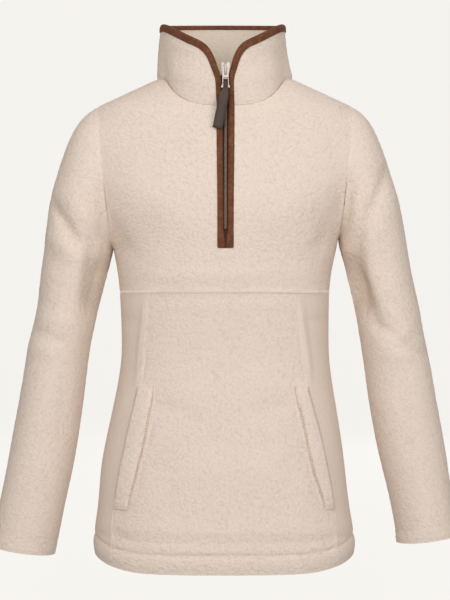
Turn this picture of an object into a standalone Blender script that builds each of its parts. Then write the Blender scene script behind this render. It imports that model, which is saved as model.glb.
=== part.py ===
# Half-zip pile fleece pullover, worn shape with no wearer inside.
# Metres, +Z up, front towards -Y, wearer's left towards +X.
# The origin is the point between the two neck points, where the shoulders carry it.

import math

import bmesh
import bpy
from mathutils import Vector

MM = 0.001

# Cloth and seam sizes.
FLEECE = 3.0 * MM
HEM_FLEECE = 5.4 * MM
HEM_HEIGHT = 26.0 * MM
SEAM_GAP = 0.34 * MM
TAPE = 0.7 * MM
RIBBON = 0.8 * MM

# Heights of the main lines.
SHOULDER_Z = -38.0 * MM
SHOULDER_X = 182.5 * MM
NECK_X = 100.0 * MM
NECK_FRONT_DROP = -46.0 * MM
NECK_BACK_RISE = 18.0 * MM
CROSS_SEAM_Z = -307.6 * MM
ZIP_END_Z = -247.5 * MM
HEM_SIDE_Z = -680.0 * MM
HEM_DROP = 17.0 * MM
ARMHOLE_HALF_DEPTH = 64.0 * MM

# The zip runs a little to the wearer's left of the middle.
ZIP_X = 0.75 * MM
ZIP_HALF_GAP = 5.4 * MM
ZIP_LOW_HALF_GAP = 4.2 * MM
ZIP_CLOSED_HALF_GAP = 1.75 * MM


class Table:
    """Rows of named columns, read as smooth curves of the first column."""

    def __init__(self, columns, rows):
        self.columns = columns
        self.rows = sorted(rows)

    def at(self, name, key):
        place = self.columns.index(name)
        keys = [row[0] for row in self.rows]
        values = [row[place] for row in self.rows]
        if key <= keys[0]:
            return values[0]
        if key >= keys[-1]:
            return values[-1]
        step = max(i for i in range(len(keys) - 1) if keys[i] <= key)
        span = keys[step + 1] - keys[step]
        share = (key - keys[step]) / span
        slopes = []
        for knot in (step, step + 1):
            before = max(knot - 1, 0)
            after = min(knot + 1, len(keys) - 1)
            slopes.append((values[after] - values[before]) / (keys[after] - keys[before]) * span)
        square = share * share
        cube = square * share
        return ((2 * cube - 3 * square + 1) * values[step]
                + (cube - 2 * square + share) * slopes[0]
                + (3 * square - 2 * cube) * values[step + 1]
                + (cube - square) * slopes[1])


# Body sections in millimetres. Squareness 2 is an ellipse, more is boxier.
TORSO = Table(
    ("z", "half_width", "shift", "front", "back", "squareness"),
    [
        (20, 85.0, 0.0, 34.0, 63.0, 2.05),
        (0, 100.0, 0.0, 45.0, 76.0, 2.05),
        (-20, 140.0, 0.0, 61.0, 84.0, 2.05),
        (-46, 182.0, 0.0, 78.0, 92.0, 2.10),
        (-75, 180.0, 0.0, 86.0, 98.0, 2.10),
        (-110, 176.0, 0.0, 94.0, 104.0, 2.10),
        (-160, 171.0, 0.0, 104.0, 107.0, 2.15),
        (-200, 167.0, 0.0, 109.0, 106.0, 2.25),
        (-232, 163.8, 0.0, 109.5, 103.5, 2.35),
        (-248, 161.5, 0.0, 109.0, 101.5, 2.40),
        (-276, 154.5, -1.0, 107.5, 98.0, 2.50),
        (-305, 151.5, -0.7, 106.0, 95.0, 2.60),
        (-350, 150.0, 0.0, 103.0, 91.0, 2.65),
        (-400, 149.5, 0.5, 102.0, 89.0, 2.65),
        (-435, 154.0, 0.2, 104.0, 93.0, 2.65),
        (-470, 160.5, -0.5, 107.0, 98.0, 2.70),
        (-510, 168.0, -1.5, 111.5, 103.0, 2.70),
        (-550, 175.0, -3.0, 116.0, 109.0, 2.70),
        (-600, 179.5, -2.5, 120.5, 114.0, 2.70),
        (-630, 183.0, -1.5, 123.0, 117.0, 2.70),
        (-655, 188.0, -1.5, 126.0, 120.0, 2.70),
        (-672, 188.0, -1.0, 125.5, 120.0, 2.70),
        (-700, 184.0, -1.0, 123.0, 118.0, 2.70),
    ],
)

# The lowest point of each armhole, one row for each side.
UNDERARM_Z = {-1: -248.0 * MM, 1: -233.0 * MM}

# Where the front panel meets the side panels, as distances from the middle.
PANEL_EDGE = Table(
    ("z", "left", "right"),
    [
        (-300, 106.0, 96.0),
        (-316, 108.0, 98.5),
        (-439, 123.0, 117.0),
        (-503, 137.0, 133.0),
        (-560, 148.5, 145.0),
        (-614, 157.0, 154.0),
        (-700, 163.0, 161.0),
    ],
)

# Soft folds of the body: place on the front view, direction in degrees from
# level, reach along and across it, and how far the cloth moves out there.
TORSO_FOLD_COLUMNS = ("face", "x", "z", "angle", "reach", "breadth", "out")
TORSO_FOLDS = [
    (-1, -120, -655, 4, 90, 9, -2.0),
    (-1, 60, -652, -3, 120, 10, -2.4),
    (-1, 0, -290, 0, 150, 10, 1.0),
    (-1, 0, -330, 0, 140, 14, 1.2),
    (-1, -128, -232, 52, 40, 12, -3.0),
    (-1, 132, -214, -58, 45, 12, -3.5),
    (-1, -70, -190, 8, 60, 34, 3.0),
    (-1, 70, -190, -8, 60, 34, 3.0),
    (1, 0, -120, 0, 110, 26, -3.0),
    (1, -60, -395, 6, 70, 14, -3.5),
    (1, 55, -420, -7, 75, 14, -3.5),
    (1, -100, -230, 50, 50, 14, -3.0),
    (1, 104, -226, -50, 50, 14, -3.0),
    (1, 0, -652, 0, 150, 10, -2.2),
]

# Sleeve sections from shoulder to cuff: outer and inner points on the front
# view, half the depth and how far forward the arm hangs.
SLEEVE_COLUMNS = ("section", "outer_x", "outer_z", "inner_x", "inner_z", "half_depth", "forward")
SLEEVES = {
    -1: Table(SLEEVE_COLUMNS, [
        (0, 182.5, -38, 161.5, -248, 64.0, 0.0),
        (1, 198.5, -47.5, 162.2, -249, 65.0, 0.0),
        (2, 212.5, -62, 162.6, -251, 66.0, 0.0),
        (3, 225.0, -85, 163.2, -254, 66.5, 0.0),
        (4, 237.0, -117, 164.0, -258, 66.5, 0.5),
        (5, 246.5, -147, 165.0, -263, 66.0, 1.0),
        (6, 254.5, -180, 167.0, -270, 65.0, 2.0),
        (7, 259.0, -214, 169.5, -281, 63.5, 3.0),
        (8, 262.0, -247, 173.0, -297, 61.5, 4.0),
        (9, 266.5, -283, 178.5, -319, 59.5, 5.0),
        (10, 271.0, -319, 185.0, -346, 58.0, 6.0),
        (11, 276.5, -352, 191.0, -372, 57.0, 7.5),
        (12, 284.0, -386, 196.0, -403, 56.0, 9.0),
        (13, 290.0, -421, 200.0, -437, 55.0, 11.0),
        (14, 296.5, -457, 205.0, -474, 54.0, 13.0),
        (15, 302.5, -493, 210.0, -511, 53.0, 15.0),
        (16, 309.0, -530, 215.5, -547, 52.0, 17.0),
        (17, 315.0, -567, 223.0, -584, 50.5, 19.0),
        (18, 323.0, -605, 230.5, -619, 49.0, 21.0),
        (19, 330.0, -640, 237.5, -654, 47.0, 23.0),
        (20, 336.0, -668, 243.0, -682, 45.5, 24.0),
    ]),
    1: Table(SLEEVE_COLUMNS, [
        (0, 182.5, -38, 163.5, -233, 64.0, 0.0),
        (1, 197.0, -47, 164.4, -234, 65.0, 0.0),
        (2, 210.0, -61, 164.8, -237, 66.0, 0.0),
        (3, 222.0, -85, 165.4, -241, 66.5, 0.0),
        (4, 233.5, -116, 166.4, -246, 66.5, 0.5),
        (5, 243.0, -147, 168.2, -253, 66.0, 1.0),
        (6, 252.0, -178, 171.2, -263, 65.0, 2.0),
        (7, 258.5, -210, 175.0, -278, 63.5, 3.0),
        (8, 263.5, -244, 179.0, -298, 61.5, 4.0),
        (9, 270.0, -283, 184.0, -324, 59.5, 5.0),
        (10, 279.0, -321, 189.5, -352, 58.0, 6.0),
        (11, 286.0, -352, 194.5, -378, 57.0, 7.5),
        (12, 292.0, -387, 199.5, -406, 56.0, 9.0),
        (13, 299.0, -424, 203.5, -440, 55.0, 11.0),
        (14, 304.5, -460, 208.5, -475, 54.0, 13.0),
        (15, 310.5, -494, 214.5, -508, 53.0, 15.0),
        (16, 316.5, -527, 220.5, -541, 52.0, 17.0),
        (17, 321.0, -562, 229.0, -575, 50.5, 19.0),
        (18, 326.0, -598, 237.0, -608, 49.0, 21.0),
        (19, 331.0, -630, 243.0, -640, 47.0, 23.0),
        (20, 335.0, -653, 245.0, -665, 45.5, 24.0),
    ]),
}

# Sleeve folds: place as section and angle round the arm (0 outer side, 90 front,
# 180 towards the body), reach and breadth in sections and degrees, turn of the
# fold, and how far the cloth moves out there.
SLEEVE_FOLD_COLUMNS = ("section", "angle", "reach", "breadth", "turn", "out")
SLEEVE_FOLDS = {
    -1: [
        (5.6, 70, 46, 0.55, 28, -4.5),
        (6.6, 62, 40, 0.50, 22, 3.0),
        (7.5, 52, 46, 0.60, 16, -3.5),
        (10.7, 18, 60, 0.38, -8, -5.0),
        (11.4, 40, 60, 0.45, -12, 2.5),
        (9.6, 150, 46, 0.50, 12, -4.0),
        (12.4, 120, 50, 0.60, 14, -3.0),
        (8.4, 230, 50, 0.60, 18, -4.0),
        (11.2, 250, 60, 0.60, -14, -4.0),
        (13.6, 300, 60, 0.70, 12, -3.0),
        (15.5, 90, 60, 1.10, 8, -1.6),
        (17.4, 250, 60, 0.90, -10, -2.0),
    ],
    1: [
        (5.2, 108, 40, 0.60, -36, -4.0),
        (7.4, 100, 40, 0.55, -24, -3.5),
        (10.6, 72, 34, 0.50, -10, -4.5),
        (11.6, 30, 60, 0.50, 10, -3.0),
        (9.8, 150, 46, 0.55, -12, -3.5),
        (12.8, 110, 50, 0.70, -14, -2.5),
        (8.2, 236, 50, 0.60, -18, -4.0),
        (11.0, 255, 60, 0.60, 14, -4.0),
        (13.9, 300, 60, 0.70, -12, -3.0),
        (15.8, 80, 60, 1.10, -8, -1.6),
        (17.2, 245, 60, 0.90, 10, -2.0),
    ],
}

# How high the collar's front edge stands, by distance from the zip.
COLLAR_FRONT = Table(
    ("distance", "height_share"),
    [(4.0, 0.42), (8.5, 0.56), (13.0, 0.78), (19.5, 0.925), (28.0, 0.99), (38.0, 1.0), (300.0, 1.0)],
)

# Inner stitched line of the pocket welts, as distances from the middle.
WELT_INNER = Table(
    ("z", "left", "right"),
    [
        (-437, 99.0, 96.0),
        (-456, 101.0, 100.0),
        (-502, 108.5, 110.5),
        (-555, 121.0, 122.0),
        (-606, 134.0, 139.0),
    ],
)
WELT_TOP = -439.0 * MM
WELT_BOTTOM = -610.0 * MM


def smooth_step(low, high, value):
    share = min(max((value - low) / (high - low), 0.0), 1.0)
    return share * share * (3.0 - 2.0 * share)


def armhole_point(side, turn):
    """Armhole edge: turn 0 is the shoulder point, 180 the underarm, 90 the front."""
    low_z = UNDERARM_Z[side]
    low_x = TORSO.at("half_width", low_z / MM) * MM
    middle_z = (SHOULDER_Z + low_z) / 2
    half_height = (SHOULDER_Z - low_z) / 2
    share = (1 + math.cos(math.radians(turn))) / 2
    return Vector((
        side * (low_x + (SHOULDER_X - low_x) * share),
        -ARMHOLE_HALF_DEPTH * math.sin(math.radians(turn)),
        middle_z + half_height * math.cos(math.radians(turn)),
    ))


def armhole_at(side, z):
    """Distance from the middle and half depth of the armhole at one height."""
    low_z = UNDERARM_Z[side]
    low_x = TORSO.at("half_width", low_z / MM) * MM
    share = (z - low_z) / (SHOULDER_Z - low_z)
    middle = min(max(2 * share - 1, -1.0), 1.0)
    reach = ARMHOLE_HALF_DEPTH * math.sqrt(max(0.0, 1 - middle * middle))
    return low_x + (SHOULDER_X - low_x) * share, reach


def torso_section(face, side, z):
    """Half width, depth, squareness and sideways shift of one body section."""
    key = z / MM
    depth = TORSO.at("front" if face < 0 else "back", key) * MM
    square = TORSO.at("squareness", key)
    shift = TORSO.at("shift", key) * MM
    if z >= SHOULDER_Z:
        slope = (SHOULDER_X - NECK_X) / -SHOULDER_Z
        rise = max(z, 0.0)
        return NECK_X - slope * min(z, 0.0) - 0.75 * rise, depth, square, shift
    if z >= UNDERARM_Z[side]:
        edge, reach = armhole_at(side, z)
        return edge / (1 - (reach / depth) ** square) ** (1 / square), depth, square, shift
    return TORSO.at("half_width", key) * MM, depth, square, shift


def torso_base(face, angle, z):
    """Body surface: angle from the middle of the front or back, 90 at the side."""
    side = 1 if angle >= 0 else -1
    width, depth, square, shift = torso_section(face, side, z)
    across = math.sin(math.radians(angle))
    along = math.cos(math.radians(angle))
    reach = (abs(across / width) ** square + abs(along / depth) ** square) ** (-1 / square)
    return Vector((shift + reach * across, face * reach * along, z))


def slope_normal(surface, first, second, first_step, second_step):
    along = surface(first + first_step, second) - surface(first - first_step, second)
    down = surface(first, second + second_step) - surface(first, second - second_step)
    return along.cross(down).normalized()


def torso_fold(face, point):
    move = 0.0
    for row in TORSO_FOLDS:
        fold = dict(zip(TORSO_FOLD_COLUMNS, row))
        if fold["face"] != face:
            continue
        turn = math.radians(fold["angle"])
        right = point.x / MM - fold["x"]
        up = point.z / MM - fold["z"]
        along = right * math.cos(turn) + up * math.sin(turn)
        across = up * math.cos(turn) - right * math.sin(turn)
        move += fold["out"] * math.exp(-(along / fold["reach"]) ** 2 - (across / fold["breadth"]) ** 2)
    return move * MM


def torso_normal(face, angle, z):
    raw = slope_normal(lambda a, b: torso_base(face, a, b), angle, z, 0.4, 0.8 * MM)
    centre = Vector((0.0, 0.0, z))
    if raw.dot(torso_base(face, angle, z) - centre) < 0:
        raw.negate()
    return raw


def torso(face, angle, z, depth=0.0):
    """A point on the body cloth, depth metres in from its outer face."""
    point = torso_base(face, angle, z)
    calm = smooth_step(90.0, 72.0, abs(angle)) if face < 0 else smooth_step(90.0, 70.0, abs(angle))
    normal = torso_normal(face, angle, z)
    return point + normal * (torso_fold(face, point) * calm - depth)


def angle_at(face, x, z):
    """The angle at which the body surface stands x from the middle."""
    side = 1 if x >= 0 else -1
    width, depth, square, shift = torso_section(face, side, z)
    share = min(abs(x - shift) / width, 0.999)
    out = depth * (1 - share ** square) ** (1 / square)
    return math.degrees(math.atan2(x - shift, out))


def neck_fall(angle, row=0):
    """Share of the front neckline's drop at this angle; rows further down run straighter."""
    along = math.cos(math.radians(angle))
    round_fall = smooth_step(0.2, 1.0, along)
    return along ** 2 + (round_fall - along ** 2) * max(0.0, 1.0 - row / 6)


def neck_z(face, angle):
    if face < 0:
        return NECK_FRONT_DROP * neck_fall(angle)
    return NECK_BACK_RISE * math.cos(math.radians(angle)) ** 2


def hem_z(angle):
    return HEM_SIDE_Z - HEM_DROP * smooth_step(0.1, 0.72, math.cos(math.radians(angle)))


def hem_depth(z, low_z):
    """Cloth thickness: double over the turned hem, with a shallow dip at its stitch line."""
    turned = smooth_step(low_z + HEM_HEIGHT + 6 * MM, low_z + HEM_HEIGHT - 2 * MM, z)
    return FLEECE + (HEM_FLEECE - FLEECE) * turned


def zip_edge(side, z):
    """Where the front panel stops beside the zip."""
    drawn = smooth_step(-70 * MM, -200 * MM, z)
    gap = ZIP_HALF_GAP + (ZIP_LOW_HALF_GAP - ZIP_HALF_GAP) * drawn
    closed = smooth_step(-220 * MM, -238 * MM, z)
    return ZIP_X + side * (gap + (ZIP_CLOSED_HALF_GAP - gap) * closed)


def surface_material(name, colour, roughness, metallic=0.0):
    """A Principled material from an sRGB colour written as hexadecimal."""
    material = bpy.data.materials.new(name)
    material.use_nodes = True
    shader = material.node_tree.nodes["Principled BSDF"]
    linear = []
    for start in (0, 2, 4):
        value = int(colour[start:start + 2], 16) / 255
        linear.append(value / 12.92 if value <= 0.04045 else ((value + 0.055) / 1.055) ** 2.4)
    shader.inputs["Base Color"].default_value = (*linear, 1.0)
    shader.inputs["Roughness"].default_value = roughness
    shader.inputs["Metallic"].default_value = metallic
    material.diffuse_color = (*linear, 1.0)
    return material


def finish_object(name, mesh, material, collection, sharp=50.0):
    mesh.shade_smooth()
    mesh.set_sharp_from_angle(angle=math.radians(sharp))
    piece = bpy.data.objects.new(name, mesh)
    piece.data.materials.append(material)
    collection.objects.link(piece)
    return piece


def open_rims(shell):
    """The open edges of a mesh, sorted into rims."""
    left = {edge for edge in shell.edges if edge.is_boundary}
    rims = []
    while left:
        rim = [left.pop()]
        ends = list(rim[0].verts)
        while ends:
            vert = ends.pop()
            for edge in vert.link_edges:
                if edge in left:
                    left.remove(edge)
                    rim.append(edge)
                    ends.append(edge.other_vert(vert))
        rims.append(rim)
    return rims


def rim_middle(rim):
    total = Vector((0.0, 0.0, 0.0))
    for edge in rim:
        total += (edge.verts[0].co + edge.verts[1].co) / 2
    return total / len(rim)


def cloth_wall(name, columns, rows, place, material, collection, closed=False, missing=None, sharp=50.0):
    """A wall of cloth: two mapped grids, outer and inner, joined along every edge.

    place(i, j, inner) gives the point of column i and row j. missing(i, j) is true for
    cells that are left out of both grids. closed joins the last column to the first.
    """
    shell = bmesh.new()
    skin_of = shell.verts.layers.int.new("skin")
    for inner in (False, True):
        made = bmesh.ops.create_grid(shell, x_segments=columns, y_segments=rows, size=1.0)["verts"]
        half = max(vert.co.x for vert in made)
        if missing:
            faces = {face for vert in made for face in vert.link_faces}
            gone = []
            for face in faces:
                middle = face.calc_center_median()
                i = int((middle.x / half + 1) / 2 * columns)
                j = int((1 - middle.y / half) / 2 * rows)
                if missing(i, j):
                    gone.append(face)
            bmesh.ops.delete(shell, geom=gone, context="FACES")
            made = [vert for vert in made if vert.is_valid]
        for vert in made:
            i = round((vert.co.x / half + 1) / 2 * columns)
            j = round((1 - vert.co.y / half) / 2 * rows)
            vert[skin_of] = int(inner)
            vert.co = place(i % columns if closed else i, j, inner)
    if closed:
        bmesh.ops.remove_doubles(shell, verts=shell.verts, dist=0.000001)
    rims = open_rims(shell)
    for rim in [rim for rim in rims if rim[0].verts[0][skin_of] == 0]:
        others = [other for other in rims if other[0].verts[0][skin_of] == 1 and len(other) == len(rim)]
        partner = min(others, key=lambda other: (rim_middle(other) - rim_middle(rim)).length)
        bmesh.ops.bridge_loops(shell, edges=rim + partner)
    bmesh.ops.recalc_face_normals(shell, faces=shell.faces)
    mesh = bpy.data.meshes.new(name)
    shell.to_mesh(mesh)
    shell.free()
    return finish_object(name, mesh, material, collection, sharp)


SHOULDER_ROWS = 4
ARMHOLE_ROWS = 12
TOP_ROWS = SHOULDER_ROWS + ARMHOLE_ROWS
HEM_STEPS = (34.0, 27.0, 22.0, 12.0, 4.0, 0.0)


def edge_height(side, row):
    """Height of a top row at the shoulder seam or armhole."""
    if row <= SHOULDER_ROWS:
        return SHOULDER_Z * row / SHOULDER_ROWS
    return armhole_point(side, 180.0 * (row - SHOULDER_ROWS) / ARMHOLE_ROWS).z


def edge_angle(side, row, z):
    """Where a top row ends: the side of the body, or the armhole."""
    if row <= SHOULDER_ROWS or row >= TOP_ROWS:
        return 90.0
    edge, reach = armhole_at(side, z)
    return math.degrees(math.atan2(edge, reach))


def clear_of_armhole(side, point, outside):
    """Keep a point on its own side of the armhole plane."""
    low_z = UNDERARM_Z[side]
    if point.z < low_z - 2 * MM:
        return point
    low_x = TORSO.at("half_width", low_z / MM) * MM
    plane = low_x + (SHOULDER_X - low_x) * (point.z - low_z) / (SHOULDER_Z - low_z)
    reach = side * point.x
    if outside:
        point.x = side * max(reach, plane + SEAM_GAP / 2)
    else:
        point.x = side * min(reach, plane - SEAM_GAP / 2)
    return point


def seam_shift(face, point):
    """Front and back stop just short of each other at the shoulder and side seams."""
    point.y = face * max(face * point.y, SEAM_GAP / 2)
    return point


def front_upper(material, collection):
    half = 9
    seam_rows = 3

    def place(i, j, inner):
        side = -1 if i <= half else 1
        share = (half - i) / half if i <= half else (i - half - 1) / half
        if j <= TOP_ROWS:
            outer_z = edge_height(side, j)
            centre_z = NECK_FRONT_DROP + (ZIP_END_Z - NECK_FRONT_DROP) * j / TOP_ROWS
        else:
            part = (j - TOP_ROWS) / seam_rows
            low = CROSS_SEAM_Z + SEAM_GAP / 2
            outer_z = UNDERARM_Z[side] + (low - UNDERARM_Z[side]) * part
            centre_z = ZIP_END_Z + (low - ZIP_END_Z) * part
        start = abs(angle_at(-1, zip_edge(side, centre_z), centre_z))
        end = edge_angle(side, j, outer_z)
        angle = start + (end - start) * share
        sweep = start + (90.0 - start) * share
        z = outer_z + (centre_z - outer_z) * neck_fall(sweep, j)
        if j == 0:
            z -= SEAM_GAP / 2
        point = torso(-1, side * angle, z, FLEECE if inner else 0.0)
        if share == 0:
            point.x = zip_edge(side, centre_z)
        if share == 1 and end == 90.0:
            seam_shift(-1, point)
        return clear_of_armhole(side, point, False)

    def slit(i, j):
        return i == half and j < TOP_ROWS

    rows = TOP_ROWS + seam_rows
    return cloth_wall("front_upper", 2 * half + 1, rows, place, material, collection, missing=slit)


def lower_height(angle, row, plain_rows):
    """Rows of the lower panels: even down to the hem, then closer over the turned hem."""
    low = hem_z(angle)
    top = CROSS_SEAM_Z - SEAM_GAP / 2
    hem_top = low + HEM_STEPS[0] * MM
    if row <= plain_rows:
        return top + (hem_top - top) * row / plain_rows
    return low + HEM_STEPS[row - plain_rows] * MM


def lower_depth(angle, z, inner):
    low = hem_z(angle)
    if inner:
        return hem_depth(z, low)
    return 0.9 * MM * math.exp(-((z - low - HEM_HEIGHT) / (4.5 * MM)) ** 2)


def front_lower(material, collection):
    columns = 18
    plain_rows = 11

    def place(i, j, inner):
        share = i / columns
        guess = -60.0 + 120.0 * share
        for step in range(3):
            z = lower_height(guess, j, plain_rows)
            left = angle_at(-1, -PANEL_EDGE.at("left", z / MM) * MM + SEAM_GAP / 2, z)
            right = angle_at(-1, PANEL_EDGE.at("right", z / MM) * MM - SEAM_GAP / 2, z)
            guess = left + (right - left) * share
        return torso(-1, guess, z, lower_depth(guess, z, inner))

    rows = plain_rows + len(HEM_STEPS) - 1
    return cloth_wall("front_lower", columns, rows, place, material, collection)


def side_panel(name, side, material, collection):
    columns = 5
    plain_rows = 11
    column_name = "left" if side < 0 else "right"

    def place(i, j, inner):
        share = i / columns
        guess = 70.0
        for step in range(3):
            z = lower_height(guess, j, plain_rows)
            start = abs(angle_at(-1, side * (PANEL_EDGE.at(column_name, z / MM) * MM + SEAM_GAP / 2), z))
            guess = start + (90.0 - start) * share
        point = torso(-1, side * guess, z, lower_depth(guess, z, inner))
        if share == 1:
            seam_shift(-1, point)
        return point

    rows = plain_rows + len(HEM_STEPS) - 1
    return cloth_wall(name, columns, rows, place, material, collection)


def back_panel(material, collection):
    half = 9
    plain_rows = 12
    centre_low = -243.0 * MM

    def place(i, j, inner):
        share = abs(i - half) / half
        side = -1 if i < half else 1
        if j <= TOP_ROWS:
            outer_z = edge_height(side, j)
            centre_z = NECK_BACK_RISE + (centre_low - NECK_BACK_RISE) * j / TOP_ROWS
            end = edge_angle(side, j, outer_z)
            angle = end * share
            z = outer_z + (centre_z - outer_z) * math.cos(math.radians(90.0 * share)) ** 2
            if j == 0:
                z -= SEAM_GAP / 2
            depth = FLEECE if inner else 0.0
        else:
            angle = end = 90.0 * share if share < 1 else 90.0
            blend = math.cos(math.radians(90.0 * share)) ** 2
            top = UNDERARM_Z[side] + (centre_low - UNDERARM_Z[side]) * blend
            low = hem_z(angle)
            row = j - TOP_ROWS
            if row <= plain_rows:
                z = top + (low + HEM_STEPS[0] * MM - top) * row / plain_rows
            else:
                z = low + HEM_STEPS[row - plain_rows] * MM
            depth = lower_depth(angle, z, inner)
        point = torso(1, side * angle, z, depth)
        if share == 1 and (end == 90.0):
            seam_shift(1, point)
        return clear_of_armhole(side, point, False)

    rows = TOP_ROWS + plain_rows + len(HEM_STEPS) - 1
    return cloth_wall("back", 2 * half, rows, place, material, collection)


def sleeve_base(side, section, turn):
    """Sleeve surface: turn 0 is the outer side, 90 the front, 180 towards the body."""
    table = SLEEVES[side]
    outer = Vector((table.at("outer_x", section), 0.0, table.at("outer_z", section))) * MM
    inner = Vector((table.at("inner_x", section), 0.0, table.at("inner_z", section))) * MM
    centre = (outer + inner) / 2
    point = centre + (outer - inner) / 2 * math.cos(math.radians(turn))
    depth = table.at("half_depth", section) * MM
    forward = table.at("forward", section) * MM
    point.y = -forward - depth * math.sin(math.radians(turn))
    point.x *= side
    return point


def sleeve_fold(side, section, turn):
    move = 0.0
    for row in SLEEVE_FOLDS[side]:
        fold = dict(zip(SLEEVE_FOLD_COLUMNS, row))
        round_arm = ((turn - fold["angle"] + 180) % 360 - 180) * 0.95
        down_arm = (section - fold["section"]) * 36.0
        tilt = math.radians(fold["turn"])
        along = round_arm * math.cos(tilt) + down_arm * math.sin(tilt)
        across = down_arm * math.cos(tilt) - round_arm * math.sin(tilt)
        fade = (along / fold["reach"]) ** 2 + (across / (fold["breadth"] * 36.0)) ** 2
        move += fold["out"] * math.exp(-fade)
    return move * MM * smooth_step(0.0, 2.5, section) * smooth_step(20.0, 18.6, section)


def sleeve(side, section, turn, depth=0.0):
    low = max(section - 0.08, 0.0)
    high = min(section + 0.08, 20.0)
    down = sleeve_base(side, high, turn) - sleeve_base(side, low, turn)
    along = sleeve_base(side, section, turn + 1.0) - sleeve_base(side, section, turn - 1.0)
    normal = along.cross(down).normalized()
    middle = (sleeve_base(side, section, turn) + sleeve_base(side, section, turn + 180.0)) / 2
    if normal.dot(sleeve_base(side, section, turn) - middle) < 0:
        normal.negate()
    return sleeve_base(side, section, turn) + normal * (sleeve_fold(side, section, turn) - depth)


def sleeve_piece(name, side, material, collection):
    plain = 22
    sections = [19.0 * k / plain for k in range(plain + 1)] + [19.25, 19.6, 20.0]
    around = 2 * ARMHOLE_ROWS

    def place(i, j, inner):
        section = sections[j]
        depth = 0.0
        if inner:
            depth = FLEECE + 1.8 * MM * smooth_step(19.0, 19.25, section)
        elif j > plain:
            depth = 0.5 * MM if j == plain + 1 else 0.0
        point = sleeve(side, section, 360.0 * i / around, depth)
        if section < 2.0:
            clear_of_armhole(side, point, True)
        return point

    return cloth_wall(name, around, len(sections) - 1, place, material, collection, closed=True)


# The collar is walked round from the wearer's right front edge, by the back, to the left one.
COLLAR_TOP_HALF_WIDTH = 90.0 * MM
COLLAR_TOP_FRONT = 86.0 * MM
COLLAR_TOP_BACK = 62.0 * MM
COLLAR_TOP_X = -3.0 * MM
COLLAR_FRONT_BULGE = 1.4 * MM
COLLAR_SIDE_BULGE = (1.4 * MM, -2.4 * MM)
COLLAR_SIDE_Z = 77.0 * MM
COLLAR_FRONT_DROP = 40.5 * MM
COLLAR_BACK_RISE = 11.0 * MM
COLLAR_EDGE_STEPS = (5.4, 9.0, 13.2, 19.5, 28.0, 38.0, 49.0)
COLLAR_EVEN_STEPS = (42.0, 51.0) + tuple(60.0 + 10.0 * k for k in range(12))


def collar_walk():
    """Angles round the neck, from the right front edge to the left front edge."""
    right = []
    left = []
    for distance in COLLAR_EDGE_STEPS:
        right.append(-angle_at(-1, ZIP_X - distance * MM, NECK_FRONT_DROP))
        left.append(360.0 - angle_at(-1, ZIP_X + distance * MM, NECK_FRONT_DROP))
    even = list(COLLAR_EVEN_STEPS)
    return right + even + [180.0] + [360.0 - step for step in reversed(even)] + left[::-1]


def face_and_angle(walk):
    if walk <= 90.0:
        return -1, -walk
    if walk < 270.0:
        return 1, walk - 180.0
    return -1, 360.0 - walk


def collar_base(walk):
    face, angle = face_and_angle(walk)
    point = torso_base(face, angle, neck_z(face, angle))
    point.z += SEAM_GAP / 2
    return point


def collar_top(walk):
    face, angle = face_and_angle(walk)
    depth = COLLAR_TOP_FRONT if face < 0 else COLLAR_TOP_BACK
    across = math.sin(math.radians(angle))
    along = math.cos(math.radians(angle))
    reach = (abs(across / COLLAR_TOP_HALF_WIDTH) ** 2.1 + abs(along / depth) ** 2.1) ** (-1 / 2.1)
    if face < 0:
        height = COLLAR_SIDE_Z - COLLAR_FRONT_DROP * abs(along) ** 2.5
    else:
        height = COLLAR_SIDE_Z + COLLAR_BACK_RISE * reach * along / COLLAR_TOP_BACK
    return Vector((COLLAR_TOP_X + reach * across, face * reach * along, height))


def collar_base_shape(walk, share):
    base = collar_base(walk)
    top = collar_top(walk)
    out = Vector((base.x, base.y, 0.0)).normalized()
    sideways = min(1.0, abs(base.x / NECK_X)) ** 1.5
    bulge = COLLAR_FRONT_BULGE + (COLLAR_SIDE_BULGE[0 if base.x < 0 else 1] - COLLAR_FRONT_BULGE) * sideways
    bulge *= math.sin(math.pi * min(max(share, 0.0), 1.0))
    return base + (top - base) * share + out * bulge


def collar(walk, share, depth=0.0):
    normal = slope_normal(collar_base_shape, walk, share, 0.4, 0.01)
    point = collar_base_shape(walk, share)
    if normal.dot(Vector((point.x, point.y, 0.0))) < 0:
        normal.negate()
    return point - normal * depth


def collar_reach(walk):
    """How much of the collar's height stands at this place: its front corners are rounded."""
    if 90.0 <= walk <= 270.0:
        return 1.0
    distance = abs(collar_base(walk).x - ZIP_X) / MM
    return COLLAR_FRONT.at("height_share", distance)


def collar_piece(material, collection):
    walk = collar_walk()
    rows = 6

    def place(i, j, inner):
        share = collar_reach(walk[i]) * (rows - j) / rows
        return collar(walk[i], share, FLEECE if inner else 0.0)

    return cloth_wall("collar", len(walk) - 1, rows, place, material, collection)


def body_edge(angle, z, depth=0.0):
    return torso(-1, angle, z, depth)


def edge_stations():
    """Edge of zip opening and collar, from the zip's lower end up, round and down again.

    Each station names the surface it is on and its place on that surface.
    """
    walk = collar_walk()
    heights = [-247.2, -243.0, -238.0, -233.0, -228.0, -223.0, -217.0]
    heights += [-200.0 + 22.0 * k for k in range(7)] + [-54.0, -46.3]
    right = []
    left = []
    for height in heights:
        z = height * MM
        for side, stations in ((-1, right), (1, left)):
            stations.append((body_edge, angle_at(-1, zip_edge(side, z), z), z))
    for share in (0.01, 0.25, 0.6):
        for step, stations in ((walk[0], right), (walk[-1], left)):
            stations.append((collar, step, collar_reach(step) * share))
    top = [(collar, step, collar_reach(step)) for step in walk]
    return right + top + left[::-1]


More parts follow.
